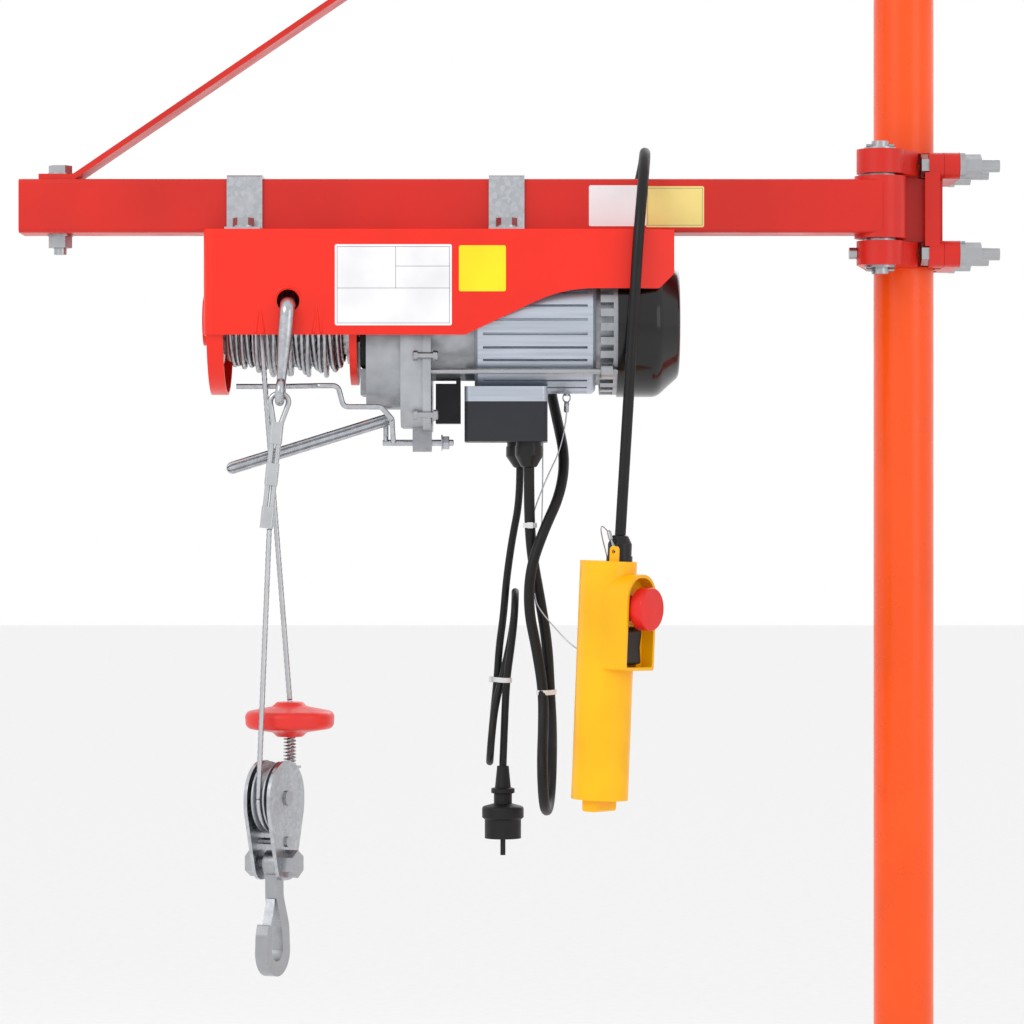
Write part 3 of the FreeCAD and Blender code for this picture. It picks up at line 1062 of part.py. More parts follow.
# Limit lever: shaft through the gearbox eye, bent front rod and channel arm
def make_lever():
    shaft_y, drop = size("lever_out"), size("lever_drop")
    rod_r = size("lever_d") / 2
    front, back = size("lever_front"), size("lever_back")
    eye = number(f"{JOINT} - flange_long / 2")
    reach, crank_up = size("lever_reach"), size("lever_crank")
    shaft = Part.makeCylinder(size("lever_shaft_d") / 2, 2 * reach + 16, from_hoist(shaft_y, eye - reach - 3, drop),
                              Vector(1, 0, 0))
    nut = Part.makeCylinder(7, 6, from_hoist(shaft_y, eye + reach + 3, drop), Vector(1, 0, 0))
    crank, _ = tube([from_hoist(shaft_y, eye - reach, drop), from_hoist(shaft_y, eye - reach, drop - crank_up - 1)],
                    rod_r)
    high, low, link_x = size("lever_rod_drop"), size("lever_step_drop"), size("lever_link_x")
    bent, _ = tube([from_hoist(back, size("lever_start"), high), from_hoist(back, link_x - 102.6, high),
                    from_hoist(front, link_x - 66.6, high), from_hoist(front, link_x - 49.6, high),
                    from_hoist(front, link_x - 44.6, low), from_hoist(front, link_x - 9.8, low),
                    from_hoist(front, link_x + 0.4, low + 11.8)], rod_r, 6.0)
    link, _ = tube([from_hoist(front, link_x, low + 11.3), from_hoist(shaft_y, link_x, drop)], rod_r)
    stop = from_hoist(shaft_y, eye - reach, drop - crank_up)
    way = from_hoist(shaft_y - size("lever_arm_out"), size("lever_arm_x"), size("lever_arm_drop")) - stop
    wide, thick, wall = size("lever_arm_wide"), size("lever_arm_thick"), size("lever_arm_wall")
    channel = Part.makeBox(way.Length, wide, thick, Vector(0, -wide / 2, -thick / 2))
    trough = Part.makeBox(way.Length - 12, wide - 2 * wall, thick, Vector(6, wall - wide / 2, -thick / 2 - wall))
    channel = channel.cut(trough)
    flat = Vector(way.x, way.y, 0)
    turn = Rotation(Vector(0, 0, 1), math.degrees(math.atan2(way.y, way.x)))
    tip = Rotation(Vector(0, 1, 0), -math.degrees(math.atan2(way.z, flat.Length)))
    channel.Placement = Placement(stop, turn * tip)
    feature(shaft.fuse([nut, crank, bent, link, channel]), "limit_lever")


make_gearbox()
make_motor()
make_boxes()
make_falls(make_rope_end())
make_block()
make_hook()
make_lever()

PENDANT_AT = ("pendant_x", out("pendant_out"), below("pendant_drop"))
PENDANT_TURN = Rotation(Vector(0, 1, 0), VALUES["pendant_tilt"]) * Rotation(Vector(0, 0, 1), VALUES["hood_turn"])


# Hand pendant: round housing with a hood over the stop button and the up and down rocker
def make_pendant():
    body = new_body(PENDANT_AT, PENDANT_TURN)
    shell = circle(sketch_on(body, "XY"), (0, 0), "pendant_r")
    pad(body, shell, "pendant_long", centred=False, backward=True)
    face = [("-hood_half", "-hood_end", 3), ("hood_half", "-hood_end", 3),
            ("hood_half", "-hood_top", "hood_half - 2"), ("-hood_half", "-hood_top", "hood_half - 2")]
    pad(body, outline(sketch_on(body, "XZ"), face), "hood_out", centred=False)
    inner = "(hood_half - hood_wall)"
    recess = [(f"-{inner}", "-hood_end + hood_wall", 2), (inner, "-hood_end + hood_wall", 2),
              (inner, "-hood_top - hood_wall", f"{inner} - 2"), (f"-{inner}", "-hood_top - hood_wall", f"{inner} - 2")]
    pocket(body, outline(sketch_at(body, "XZ", "panel_out"), recess), "hood_out", centred=False, backward=True)
    well = rectangle("-rocker_wide / 2 - 0.5", "-rocker_drop - rocker_tall / 2 - 0.5",
                     "rocker_wide / 2 + 0.5", "-rocker_drop + rocker_tall / 2 + 0.5")
    pocket(body, outline(sketch_at(body, "XZ", "panel_out - 8"), well), "12", centred=False, backward=True)
    socket = circle(sketch_at(body, "XZ", "panel_out - 8 - estop_travel"), (0, "-estop_drop"), "estop_neck_r + 0.5")
    pocket(body, socket, "12 + estop_travel", centred=False, backward=True)
    lug = outline(sketch_on(body, "YZ"), [(-8, "-pendant_long - 11", 3), (8, "-pendant_long - 11", 3),
                                           (8, "-pendant_long + 1"), (-8, "-pendant_long + 1")])
    pad(body, lug, "32")
    eye = outline(sketch_at(body, "YZ", "-pendant_r * 0.4"), [("-pendant_r * 0.5 - 4", -1), ("-pendant_r * 0.5 + 4", -1),
                                          ("-pendant_r * 0.5 + 4", 14, 3.5), ("-pendant_r * 0.5 - 4", 14, 3.5)])
    pad(body, eye, "4")
    hole = circle(sketch_on(body, "YZ"), ("-pendant_r * 0.5", 9), 2)
    pocket(body, hole, "2 * pendant_r")
    keep(body, "pendant_housing")
    lean = Rotation(Vector(0, 1, 0), VALUES["pendant_tilt"])
    gland_at = Vector(*[number(text) for text in PENDANT_AT]) + lean.multVec(Vector(9.7, 0, 0))
    gland = turned([(0, 0), (12, 0), (12, 5), (11, 5), (11, 16, 3), ("cable_d / 2 + 2", 24, 3), (0, 24)])
    gland.Placement = Placement(gland_at, lean)
    keep(gland, "pendant_gland")
    button = turned([(0, "panel_out - 7"), ("estop_neck_r", "panel_out - 7"), ("estop_neck_r", "estop_face - estop_cap"),
                     ("estop_r - 1", "estop_face - estop_cap"), ("estop_r", "estop_face - estop_cap + 1"),
                     ("estop_r", "estop_face - 1.5", 1.5), (0, "estop_face")])
    centre = Vector(*[number(text) for text in PENDANT_AT]) + PENDANT_TURN.multVec(Vector(0, 0, -size("estop_drop")))
    button.Placement = Placement(centre, PENDANT_TURN * AXES["-Y"])
    keep(button, "estop_button")
    half = "(rocker_tall / 2)"
    key = plate("YZ", [("-rocker_out", f"-rocker_drop + {half} - 3", 2), ("-panel_out + 5", f"-rocker_drop + {half} - 1"),
                       ("-panel_out + 5", f"-rocker_drop - {half} + 1"), ("-rocker_out", f"-rocker_drop - {half} + 3", 2),
                       ("-rocker_out + 1.5", "-rocker_drop")], "rocker_wide", PENDANT_AT, PENDANT_TURN)
    keep(key, "rocker")


make_pendant()


# Points of the control cable, from its gland down, round the hanging loop, up behind the motor,
# over the arm and down to the pendant
CONTROL_ROUTE = [
    (-357.2, -88, 1057), (-357.2, -88, 1020), (-355, -87, 978), (-347, -85.5, 935), (-340, -85, 892),
    (-338, -84, 850), (-336, -75, 818), (-335.5, -50, 784), (-337, -58, 750), (-340.5, -90, 735),
    (-344, -122, 750), (-345.5, -130, 784), (-344, -105, 818), (-344, -96, 850), (-350, -98, 888),
    (-358, -100, 926), (-356, -101, 964), (-343, -97, 1000), (-328, -78, 1032), (-323, -50, 1066),
    (-330, -20, 1102), (-338, 6, 1140), (-330, 18, 1185), (-310, 20, 1230), (-280, 18, 1270),
    (-257, 4, 1308), (-249, -30, 1342), (-248.7, -68, 1354), (-250, -106, 1342), (-254, -138, 1306),
    (-258, -150, 1262), (-274.4, -158, 994.6)]
# Points of the mains cable, from its gland down, folded twice, to the plug
MAINS_ROUTE = [
    (-365.6, -53, 1057), (-365.6, -53, 1027), (-373, -51, 990), (-378.5, -49, 950), (-381, -47, 918),
    (-385, -45.5, 890), (-387, -44.5, 858), (-389.5, -36, 834), (-392, -23.2, 807), (-393.5, -30.7, 787.2),
    (-394, -50, 779), (-393.5, -69.3, 787.2), (-392, -76.8, 807), (-389, -64, 834), (-382.8, -54.3, 858),
    (-375.5, -46, 888), (-371, -32.2, 915), (-370, -39.7, 934.8), (-370, -59, 943), (-370, -78.3, 934.8),
    (-371, -85.8, 915), (-374, -73, 888), (-378, -64, 860), (-380, -63, 820), (-381.5, -63, 778)]


def band(first, last, inner):
    """A cable tie round a row of cords, from the first one's centre to the last one's."""
    first, last = Vector(*first), Vector(*last)
    way = last - first
    turn = Rotation(Vector(0, 0, 1), math.degrees(math.atan2(way.y, way.x)))
    rings = []
    for radius in (inner + size("tie_wall"), inner):
        ends = [Part.makeCylinder(radius, size("tie_wide"), Vector(along, 0, 0)) for along in (0, way.Length)]
        if way.Length > 0:
            ends.append(Part.makeBox(way.Length, 2 * radius, size("tie_wide"), Vector(0, -radius, 0)))
        rings.append(ends[0].fuse(ends[1:]) if way.Length > 0 else ends[0])
    tie = rings[0].cut(rings[1])
    lock = Part.makeBox(5, 3, size("tie_wide") + 1, Vector(-2.5, -inner - 4, -0.5))
    tie = tie.fuse(lock)
    tie.Placement = Placement(first, turn)
    return tie


# The two cords as plain tubes, the mains plug, and the cable ties
def make_cords():
    for label, route, thick in (("control_cable", CONTROL_ROUTE, size("cable_d")),
                                ("mains_cable", MAINS_ROUTE, size("mains_d"))):
        shape, (length, radii) = tube(route, thick / 2)
        feature(shape, label)
        expected = math.pi * thick ** 2 / 4 * length
        print(label, "length", round(length), "volume ratio", round(shape.Volume / expected, 4))
        print(label, "bend radii", radii)
    top = Vector(*MAINS_ROUTE[-1])
    relief, grip = "(mains_d / 2 + 2)", "(plug_r - 2.5)"
    body = turned([(0, 0), (relief, 0), (f"{relief} + 2", -20), (11, -21), (11, -25), (f"{relief} + 3", -26),
                   (f"{relief} + 3", -35), ("plug_r", -38, 3), ("plug_r", -48, 1), (grip, -50), (grip, "-plug_long"),
                   (0, "-plug_long")])
    pins = [rod("plug_pin_d / 2", "plug_pin_long + 5", (f"{side} * plug_pitch / 2", 0, "-plug_long - plug_pin_long"))
            for side in (-1, 1)]
    keep(fused(body, *pins), "mains_plug", tuple(top), Rotation(Vector(0, 0, 1), 90))
    ties = [band((-338, -84, 846), (-344, -96, 846), size("cable_d") / 2),
            band((-356.2, -87.6, 1001), (-356.2, -87.6, 1001), size("cable_d") / 2),
            band((-387, -44.5, 856), (-378, -64, 856), size("mains_d") / 2)]
    feature(Part.makeCompound(ties), "cable_ties")


make_cords()

doc.recompute()
faulty = [thing.Label for thing in doc.Objects if "Invalid" in thing.State or "Error" in thing.State]
faulty += [piece.Label for piece in subparts if piece.Shape.isNull() or not piece.Shape.isValid()]
if faulty:
    raise RuntimeError("Not built: " + ", ".join(faulty))
os.makedirs("parts", exist_ok=True)
for piece in subparts:
    piece.Shape.exportStep(f"parts/{piece.Label}.step")
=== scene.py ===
import json
import math
import bmesh
import bpy
from mathutils import Matrix, Vector


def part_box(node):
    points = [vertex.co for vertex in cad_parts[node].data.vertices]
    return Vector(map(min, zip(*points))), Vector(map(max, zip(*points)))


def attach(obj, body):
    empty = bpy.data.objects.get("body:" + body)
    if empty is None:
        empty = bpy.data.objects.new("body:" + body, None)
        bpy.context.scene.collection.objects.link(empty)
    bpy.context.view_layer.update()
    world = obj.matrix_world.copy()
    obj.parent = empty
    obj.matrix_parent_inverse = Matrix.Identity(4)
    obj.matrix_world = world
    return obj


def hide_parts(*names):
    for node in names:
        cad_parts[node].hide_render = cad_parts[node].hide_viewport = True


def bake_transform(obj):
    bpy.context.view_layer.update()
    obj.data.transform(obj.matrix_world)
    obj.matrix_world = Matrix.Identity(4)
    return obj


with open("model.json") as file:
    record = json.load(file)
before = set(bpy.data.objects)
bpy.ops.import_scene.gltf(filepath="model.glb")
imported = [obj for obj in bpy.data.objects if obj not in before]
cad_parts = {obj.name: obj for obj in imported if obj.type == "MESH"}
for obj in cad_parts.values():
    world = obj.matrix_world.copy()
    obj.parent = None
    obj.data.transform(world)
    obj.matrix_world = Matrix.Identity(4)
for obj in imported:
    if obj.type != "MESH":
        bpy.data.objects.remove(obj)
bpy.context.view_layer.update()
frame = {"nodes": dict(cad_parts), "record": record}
nodes = frame["nodes"]

# The photograph's camera: level, in front of the arm's middle
CAMERA_X = -0.373
EYE = Vector((CAMERA_X, -3.568, 1.0156))
SENSOR = 36.0
SEEN_WIDE, SEEN_AT = 0.957, 3.5
camera = bpy.data.objects.new("camera", bpy.data.cameras.new("camera"))
camera.data.sensor_width = SENSOR
camera.data.lens = SENSOR * SEEN_AT / SEEN_WIDE
camera.data.clip_end = 100.0
camera.location = EYE
camera.rotation_euler = (math.pi / 2, 0, 0)
bpy.context.scene.collection.objects.link(camera)
bpy.context.scene.camera = camera


def colour(red, green, blue):
    """Screen values from 0 to 255 as a linear colour."""
    linear = []
    for value in (red, green, blue):
        value /= 255
        linear.append(value / 12.92 if value <= 0.04045 else ((value + 0.055) / 1.055) ** 2.4)
    return (*linear, 1.0)


class Shader:
    """A material with one Principled shader, and short calls that add nodes to it."""

    COAT_ROUGH = 0.08
    SPECULAR = 0.3

    def __init__(self, name, base, rough, metal=0.0, coat=0.0):
        self.material = bpy.data.materials.new(name)
        self.material.use_nodes = True
        self.nodes = self.material.node_tree.nodes
        self.links = self.material.node_tree.links
        self.surface = self.nodes["Principled BSDF"]
        self.base = base
        self.surface.inputs["Base Color"].default_value = base
        self.surface.inputs["Roughness"].default_value = rough
        self.surface.inputs["Metallic"].default_value = metal
        self.surface.inputs["Coat Weight"].default_value = coat
        self.surface.inputs["Coat Roughness"].default_value = self.COAT_ROUGH
        self.surface.inputs["Specular IOR Level"].default_value = self.SPECULAR
        self.place = self.nodes.new("ShaderNodeTexCoord").outputs["Object"]
        self.normal = None

    def noise(self, scale, detail=4.0, stretch=None):
        """Soft noise, fixed to the object; stretch draws it out into lines."""
        node = self.nodes.new("ShaderNodeTexNoise")
        node.inputs["Scale"].default_value = scale
        node.inputs["Detail"].default_value = detail
        self.links.new(self.spot(stretch), node.inputs["Vector"])
        return node.outputs["Fac"]

    def cells(self, scale):
        """Crystal-like cells, each with a colour of its own."""
        node = self.nodes.new("ShaderNodeTexVoronoi")
        node.inputs["Scale"].default_value = scale
        self.links.new(self.place, node.inputs["Vector"])
        return node.outputs["Color"]

    def spot(self, stretch):
        """The place on the object, stretched or not."""
        if stretch is None:
            return self.place
        node = self.nodes.new("ShaderNodeMapping")
        node.inputs["Scale"].default_value = stretch
        self.links.new(self.place, node.inputs["Vector"])
        return node.outputs["Vector"]

    def ramp(self, source, low, high, start=0.35, end=0.65):
        """The source's values from start to end, spread from low to high."""
        node = self.nodes.new("ShaderNodeMapRange")
        node.inputs["From Min"].default_value = start
        node.inputs["From Max"].default_value = end
        node.inputs["To Min"].default_value = low
        node.inputs["To Max"].default_value = high
        self.links.new(source, node.inputs["Value"])
        return node.outputs["Result"]

    def tint(self, source, other, start=0.35, end=0.65):
        """The base colour goes towards another one with the source."""
        node = self.nodes.new("ShaderNodeMix")
        node.data_type = "RGBA"
        node.inputs["A"].default_value = self.base
        node.inputs["B"].default_value = other
        self.links.new(self.ramp(source, 0, 1, start, end), node.inputs["Factor"])
        self.links.new(node.outputs["Result"], self.surface.inputs["Base Color"])

    def gloss(self, source, low, high):
        """The roughness varies from low to high with the source."""
        self.links.new(self.ramp(source, low, high), self.surface.inputs["Roughness"])

    def bump(self, source, depth, strength):
        """The source lifts the surface, on top of any bump that is there."""
        node = self.nodes.new("ShaderNodeBump")
        node.inputs["Strength"].default_value = strength
        node.inputs["Distance"].default_value = depth
        self.links.new(source, node.inputs["Height"])
        if self.normal is not None:
            self.links.new(self.normal, node.inputs["Normal"])
        self.normal = node.outputs["Normal"]
        self.links.new(self.normal, self.surface.inputs["Normal"])


def shade(base, factor):
    """A colour made darker by a factor."""
    return (*[min(1.0, part * factor) for part in base[:3]], 1.0)


def powder_coat(name, base, rough, coat):
    """Sprayed paint: faint orange peel, a little unevenness in tone and gloss."""
    paint = Shader(name, base, rough, coat=coat)
    paint.tint(paint.noise(9), shade(base, 0.86))
    paint.gloss(paint.noise(35), rough * 0.85, rough * 1.2)
    paint.bump(paint.noise(900, 2), depth=0.00012, strength=0.35)
    paint.bump(paint.noise(60, 3), depth=0.0004, strength=0.12)
    return paint.material


def cast(name, base, rough):
    """Die-cast metal with a fine grain."""
    made = Shader(name, base, rough, metal=0.85)
    made.tint(made.noise(26), shade(base, 0.72))
    made.gloss(made.noise(120), rough * 0.85, rough * 1.25)
    made.bump(made.noise(1400, 3), depth=0.00015, strength=0.5)
    return made.material


def zinc(name, base, rough, spangle=0.0):
    """Zinc on steel, with spangles where it was dipped."""
    made = Shader(name, base, rough, metal=1.0)
    source = made.cells(260) if spangle else made.noise(70)
    made.tint(source, shade(base, 0.86 - spangle), start=0.2, end=0.8)
    made.gloss(made.noise(90), rough * 0.8, rough * 1.3)
    made.bump(made.noise(400, 2), depth=0.0001, strength=0.15)
    return made.material


def moulded(name, base, rough, grain=0.25, coat=0.0):
    """Moulded plastic or rubber with a fine grain."""
    made = Shader(name, base, rough, coat=coat)
    made.tint(made.noise(14), shade(base, 0.84))
    made.gloss(made.noise(60), rough * 0.88, rough * 1.15)
    made.bump(made.noise(1700, 2), depth=0.0001, strength=grain)
    return made.material


def extruded(name, base, rough):
    """Bare extruded aluminium with fine lines along the motor."""
    made = Shader(name, base, rough, metal=0.75)
    lines = made.noise(320, 3, stretch=(0.04, 1.0, 1.0))
    made.tint(lines, shade(base, 0.85))
    made.gloss(lines, rough * 0.85, rough * 1.2)
    made.bump(lines, depth=0.0001, strength=0.3)
    return made.material


# Each finish: what makes it, its colour and roughness, and then what its maker takes after these
FINISHES = {
    "pole_paint": (powder_coat, colour(252, 84, 4), 0.3, 0.2),
    "jib_paint": (powder_coat, colour(212, 34, 22), 0.38, 0.14),
    "cover_paint": (powder_coat, colour(242, 38, 18), 0.34, 0.16),
    "black_cap": (moulded, colour(24, 24, 26), 0.5),
    "zinc_steel": (zinc, colour(178, 180, 184), 0.3),
    "galvanised": (zinc, colour(190, 193, 198), 0.27, 0.02),
    "black_rubber": (moulded, colour(24, 24, 26), 0.6),
    "cast_aluminium": (cast, colour(180, 183, 188), 0.45),
    "motor_aluminium": (extruded, colour(190, 198, 210), 0.36),
    "black_gloss": (moulded, colour(10, 10, 12), 0.18, 0.05, 0.3),
    "charcoal_plastic": (moulded, colour(44, 46, 52), 0.45, 0.4),
    "black_plastic": (moulded, colour(18, 18, 20), 0.32, 0.15, 0.1),
    "switch_plastic": (moulded, colour(24, 25, 30), 0.42),
    "steel_rope": (zinc, colour(196, 198, 202), 0.36),
    "pendant_yellow": (moulded, colour(255, 188, 0), 0.34, 0.12, 0.1),
    "cable_rubber": (moulded, colour(20, 20, 22), 0.46, 0.2),
    "plug_rubber": (moulded, colour(22, 22, 24), 0.5, 0.35),
    "tie_plastic": (moulded, colour(222, 222, 224), 0.4),
    "disc_red": (moulded, colour(230, 50, 44), 0.36, 0.15, 0.12),
    "spring_steel": (zinc, colour(170, 172, 176), 0.25),
    "hook_steel": (zinc, colour(172, 174, 178), 0.3),
    "button_red": (moulded, colour(232, 36, 30), 0.32, 0.1, 0.12),
    "rocker_black": (moulded, colour(22, 22, 24), 0.35, 0.2),
    "label_white": (moulded, colour(244, 244, 246), 0.35, 0.02, 0.2),
    "label_yellow": (moulded, colour(255, 226, 20), 0.35, 0.02, 0.2),
    "label_cream": (moulded, colour(236, 214, 130), 0.4, 0.02, 0.15),
    "label_ink": (moulded, colour(128, 128, 132), 0.5, 0.02),
}
LOOKS = {name: make(name, *values) for name, (make, *values) in FINISHES.items()}
for entry in frame["record"]["subparts"]:
    painted = nodes[entry["node"]]
    painted.data.materials.clear()
    painted.data.materials.append(LOOKS[entry["material_slot"]])

# The cords' points are the part's own, in millimetres, with one more on the control cable's last run
MILLI = 0.001
CONTROL_ROUTE = [
    (-357.2, -88, 1057), (-357.2, -88, 1020), (-355, -87, 978), (-347, -85.5, 935), (-340, -85, 892),
    (-338, -84, 850), (-336, -75, 818), (-335.5, -50, 784), (-337, -58, 750), (-340.5, -90, 735),
    (-344, -122, 750), (-345.5, -130, 784), (-344, -105, 818), (-344, -96, 850), (-350, -98, 888),
    (-358, -100, 926), (-356, -101, 964), (-343, -97, 1000), (-328, -78, 1032), (-323, -50, 1066),
    (-330, -20, 1102), (-338, 6, 1140), (-330, 18, 1185), (-310, 20, 1230), (-280, 18, 1270),
    (-257, 4, 1308), (-249, -30, 1342), (-248.7, -68, 1354), (-250, -106, 1342), (-254, -138, 1306),
    (-258, -150, 1262), (-260.8, -151.4, 1216), (-274.4, -158, 994.6)]
MAINS_ROUTE = [
    (-365.6, -53, 1057), (-365.6, -53, 1027), (-373, -51, 990), (-378.5, -49, 950), (-381, -47, 918),
    (-385, -45.5, 890), (-387, -44.5, 858), (-389.5, -36, 834), (-392, -23.2, 807), (-393.5, -30.7, 787.2),
    (-394, -50, 779), (-393.5, -69.3, 787.2), (-392, -76.8, 807), (-389, -64, 834), (-382.8, -54.3, 858),
    (-375.5, -46, 888), (-371, -32.2, 915), (-370, -39.7, 934.8), (-370, -59, 943), (-370, -78.3, 934.8),
    (-371, -85.8, 915), (-374, -73, 888), (-378, -64, 860), (-380, -63, 820), (-381.5, -63, 778)]

# The thin steel wires that take the pendant's weight: from the eyelet under the motor to the tie on
# the control cable, and from under the junction box, past the cable, to the lug of the pendant
WIRE = 0.0013
EYELET_WIRE = [
    (-321.9, -68, 1109), (-322.6, -68.4, 1098), (-329.5, -71, 1070), (-337.5, -74.5, 1054),
    (-343.8, -77.5, 1039.5), (-350, -80.5, 1024), (-353.5, -82, 1012), (-354.6, -82.2, 1003),
    (-354, -81.6, 990), (-352, -80.8, 972)]
PENDANT_WIRE = [
    (-344.2, -64, 1081), (-344.2, -64, 1060), (-344.6, -65, 1024), (-345.6, -67, 994), (-348.5, -74, 968),
    (-351.5, -85, 948), (-351.6, -91.5, 933), (-345, -93.2, 922), (-338, -94, 913.6), (-321, -101, 895),
    (-308, -112, 886), (-293, -122, 885), (-281, -126.5, 897), (-277, -127, 922), (-280, -127.5, 950),
    (-286, -130, 976), (-291, -138, 994), (-292, -150, 1003), (-289, -163, 1002), (-284.5, -171.5, 996)]


def smooth_line(name, route, thick, look):
    """A round cord on one smooth line, with the route's points as its control points."""
    data = bpy.data.curves.new(name, "CURVE")
    data.dimensions = "3D"
    data.bevel_depth = thick / 2
    data.bevel_resolution = 5
    data.resolution_u = 8
    data.use_fill_caps = True
    line = data.splines.new("NURBS")
    line.points.add(len(route) - 1)
    for control, spot in zip(line.points, route):
        control.co = (*[part * MILLI for part in spot], 1.0)
    line.order_u = 3
    line.use_endpoint_u = True
    data.materials.append(LOOKS[look])
    made = bpy.data.objects.new(name, data)
    bpy.context.scene.collection.objects.link(made)
    return made


def place_cords():
    """The control cable, the mains cable and the pendant's two wires."""
    control = smooth_line("control_flex", CONTROL_ROUTE, 0.010, "cable_rubber")
    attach(control, "jib")
    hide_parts("control_cable")
    mains = smooth_line("mains_flex", MAINS_ROUTE, 0.007, "cable_rubber")
    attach(mains, "jib")
    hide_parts("mains_cable")
    for name, route, long in (("eyelet_wire", EYELET_WIRE, 0.144), ("pendant_wire", PENDANT_WIRE, 0.394)):
        wire = smooth_line(name, route, WIRE, "steel_rope")
        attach(wire, "jib")


place_cords()

# The cover's left end, the arm's centre plane and the arm's underside, in millimetres
HOIST_LEFT = -656
ARM_MIDDLE = -68
ARM_UNDER = 1275
ALONG_ARM = Vector((1, 0, 0))


def point(x, y, z):
    """A point given in millimetres."""
    return Vector((x, y, z)) * MILLI


def from_hoist(across, along, down):
    """A point across from the arm's centre plane, along from the cover's end and below the arm."""
    return point(HOIST_LEFT + along, ARM_MIDDLE + across, ARM_UNDER - down)


def keep_mesh(name, shape, look, body, smooth=True, replaced=()):
    """A finished mesh as a piece that rides on a body, if one is given."""
    mesh = bpy.data.meshes.new(name)
    bmesh.ops.recalc_face_normals(shape, faces=shape.faces)
    shape.to_mesh(mesh)
    shape.free()
    for face in mesh.polygons:
        face.use_smooth = smooth
    mesh.materials.append(LOOKS[look])
    made = bpy.data.objects.new(name, mesh)
    bpy.context.scene.collection.objects.link(made)
    if body:
        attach(made, body)
    if replaced:
        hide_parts(*replaced)
    return made


def sharpen(made, angle=0.6):
    """Edges steeper than the angle stay crisp while the rest shades smoothly."""
    shape = bmesh.new()
    shape.from_mesh(made.data)
    for edge in shape.edges:
        edge.smooth = len(edge.link_faces) != 2 or edge.calc_face_angle(0) < angle
    shape.to_mesh(made.data)
    shape.free()


def frame_of(direction):
    """Two unit vectors square to a direction."""
    direction = direction.normalized()
    side = direction.cross(Vector((0, 0, 1)))
    if side.length < 0.1:
        side = direction.cross(ALONG_ARM)
    side.normalize()
    return side, side.cross(direction).normalized()


def circle(shape, middle, side, other, radius, sides):
    """The corners of a ring about a middle, in the plane of two unit vectors."""
    turns = [2 * math.pi * k / sides for k in range(sides)]
    return [shape.verts.new(middle + side * radius * math.cos(turn) + other * radius * math.sin(turn))
            for turn in turns]


def skin(shape, rings):
    """The faces from each ring of corners to the next, with a lid at each end."""
    for low, high in zip(rings, rings[1:]):
        for k in range(len(low)):
            n = (k + 1) % len(low)
            shape.faces.new((low[k], low[n], high[n], high[k]))
    shape.faces.new(list(reversed(rings[0])))
    shape.faces.new(rings[-1])


def tube_along(shape, spots, radius, sides=8):
    """A closed tube through the spots; radius is one number or one for each spot."""
    rings = []
    side, _ = frame_of(spots[1] - spots[0])
    for i, spot in enumerate(spots):
        ahead = (spots[min(i + 1, len(spots) - 1)] - spots[max(i - 1, 0)]).normalized()
        side = (side - ahead * side.dot(ahead)).normalized()
        thick = radius[i] if isinstance(radius, list) else radius
        rings.append(circle(shape, spot, side, ahead.cross(side), thick, sides))
    skin(shape, rings)


def lathe(shape, profile, start, axis, sides):
    """A body turned about an axis: the profile holds (distance along the axis, radius)."""
    axis = axis.normalized()
    side, other = frame_of(axis)
    rings = []
    for along, radius in profile:
        middle = start + axis * along
        rings.append(circle(shape, middle, side, other, radius, sides if radius else 1))
    for low, high in zip(rings, rings[1:]):
        for k in range(sides):
            n = (k + 1) % sides
            if len(low) == 1:
                shape.faces.new((low[0], high[n], high[k]))
            elif len(high) == 1:
                shape.faces.new((low[k], low[n], high[0]))
            else:
                shape.faces.new((low[k], low[n], high[n], high[k]))


def pin(shape, start, axis, radius, long, bevel, inward, sides=24, bore=0):
    """A round bar with bevelled ends, or a collar about a bore; the bevel goes inward by its own size."""
    profile = [(0, bore), (0, radius - inward), (bevel, radius),
               (long - bevel, radius), (long, radius - inward), (long, bore)]
    lathe(shape, profile, start, axis, sides)


def thread(shape, start, axis, diameter, pitch, length, sides=20):
    """A screw thread: one spiral ridge round a core, lower at both ends."""
    # Shares of the pitch: how deep the core and the low ends lie, and half the ridge's foot
    core, low_end, foot = 0.55, 0.35, 0.42
    axis = axis.normalized()
    side, other = frame_of(axis)
    steps = int(length / pitch * sides)
    rows = []
    for i in range(steps + 1):
        turn = 2 * math.pi * i / sides
        out = side * math.cos(turn) + other * math.sin(turn)
        crest = diameter / 2 - low_end * pitch * (0 if 0 < i < steps else 1)
        root = diameter / 2 - core * pitch
        middle = start + axis * (i / steps * length)
        rows.append([shape.verts.new(middle + out * root - axis * pitch * foot),
                     shape.verts.new(middle + out * crest),
                     shape.verts.new(middle + out * root + axis * pitch * foot)])
    skin(shape, rows)


def laid_rope(shape, spots, radius, lay=0.034, sides=12):
    """A stranded rope through closely spaced spots: a section with a lobe for each two sides, which
    turns once in each lay."""
    valley = 0.8
    side, _ = frame_of(spots[1] - spots[0])
    rings, gone = [], 0.0
    for i, spot in enumerate(spots):
        ahead = (spots[min(i + 1, len(spots) - 1)] - spots[max(i - 1, 0)]).normalized()
        side = (side - ahead * side.dot(ahead)).normalized()
        other = ahead.cross(side)
        if i:
            gone += (spot - spots[i - 1]).length
        ring = []
        for k in range(sides):
            turn = 2 * math.pi * (k / sides + gone / lay)
            reach = radius * (1.0 if k % 2 else valley)
            ring.append(shape.verts.new(spot + (side * math.cos(turn) + other * math.sin(turn)) * reach))
        rings.append(ring)
    skin(shape, rings)


def straight(start, end, step=0.0018):
    """Evenly spaced spots from start to end."""
    count = max(2, int((end - start).length / step))
    return [start.lerp(end, i / count) for i in range(count + 1)]


ROPE_R = 0.0025
BLOCK_AT = point(-590.5, -143.0, 754.5)
BLOCK_TURN = Matrix.Rotation(math.radians(-24), 3, "Z")

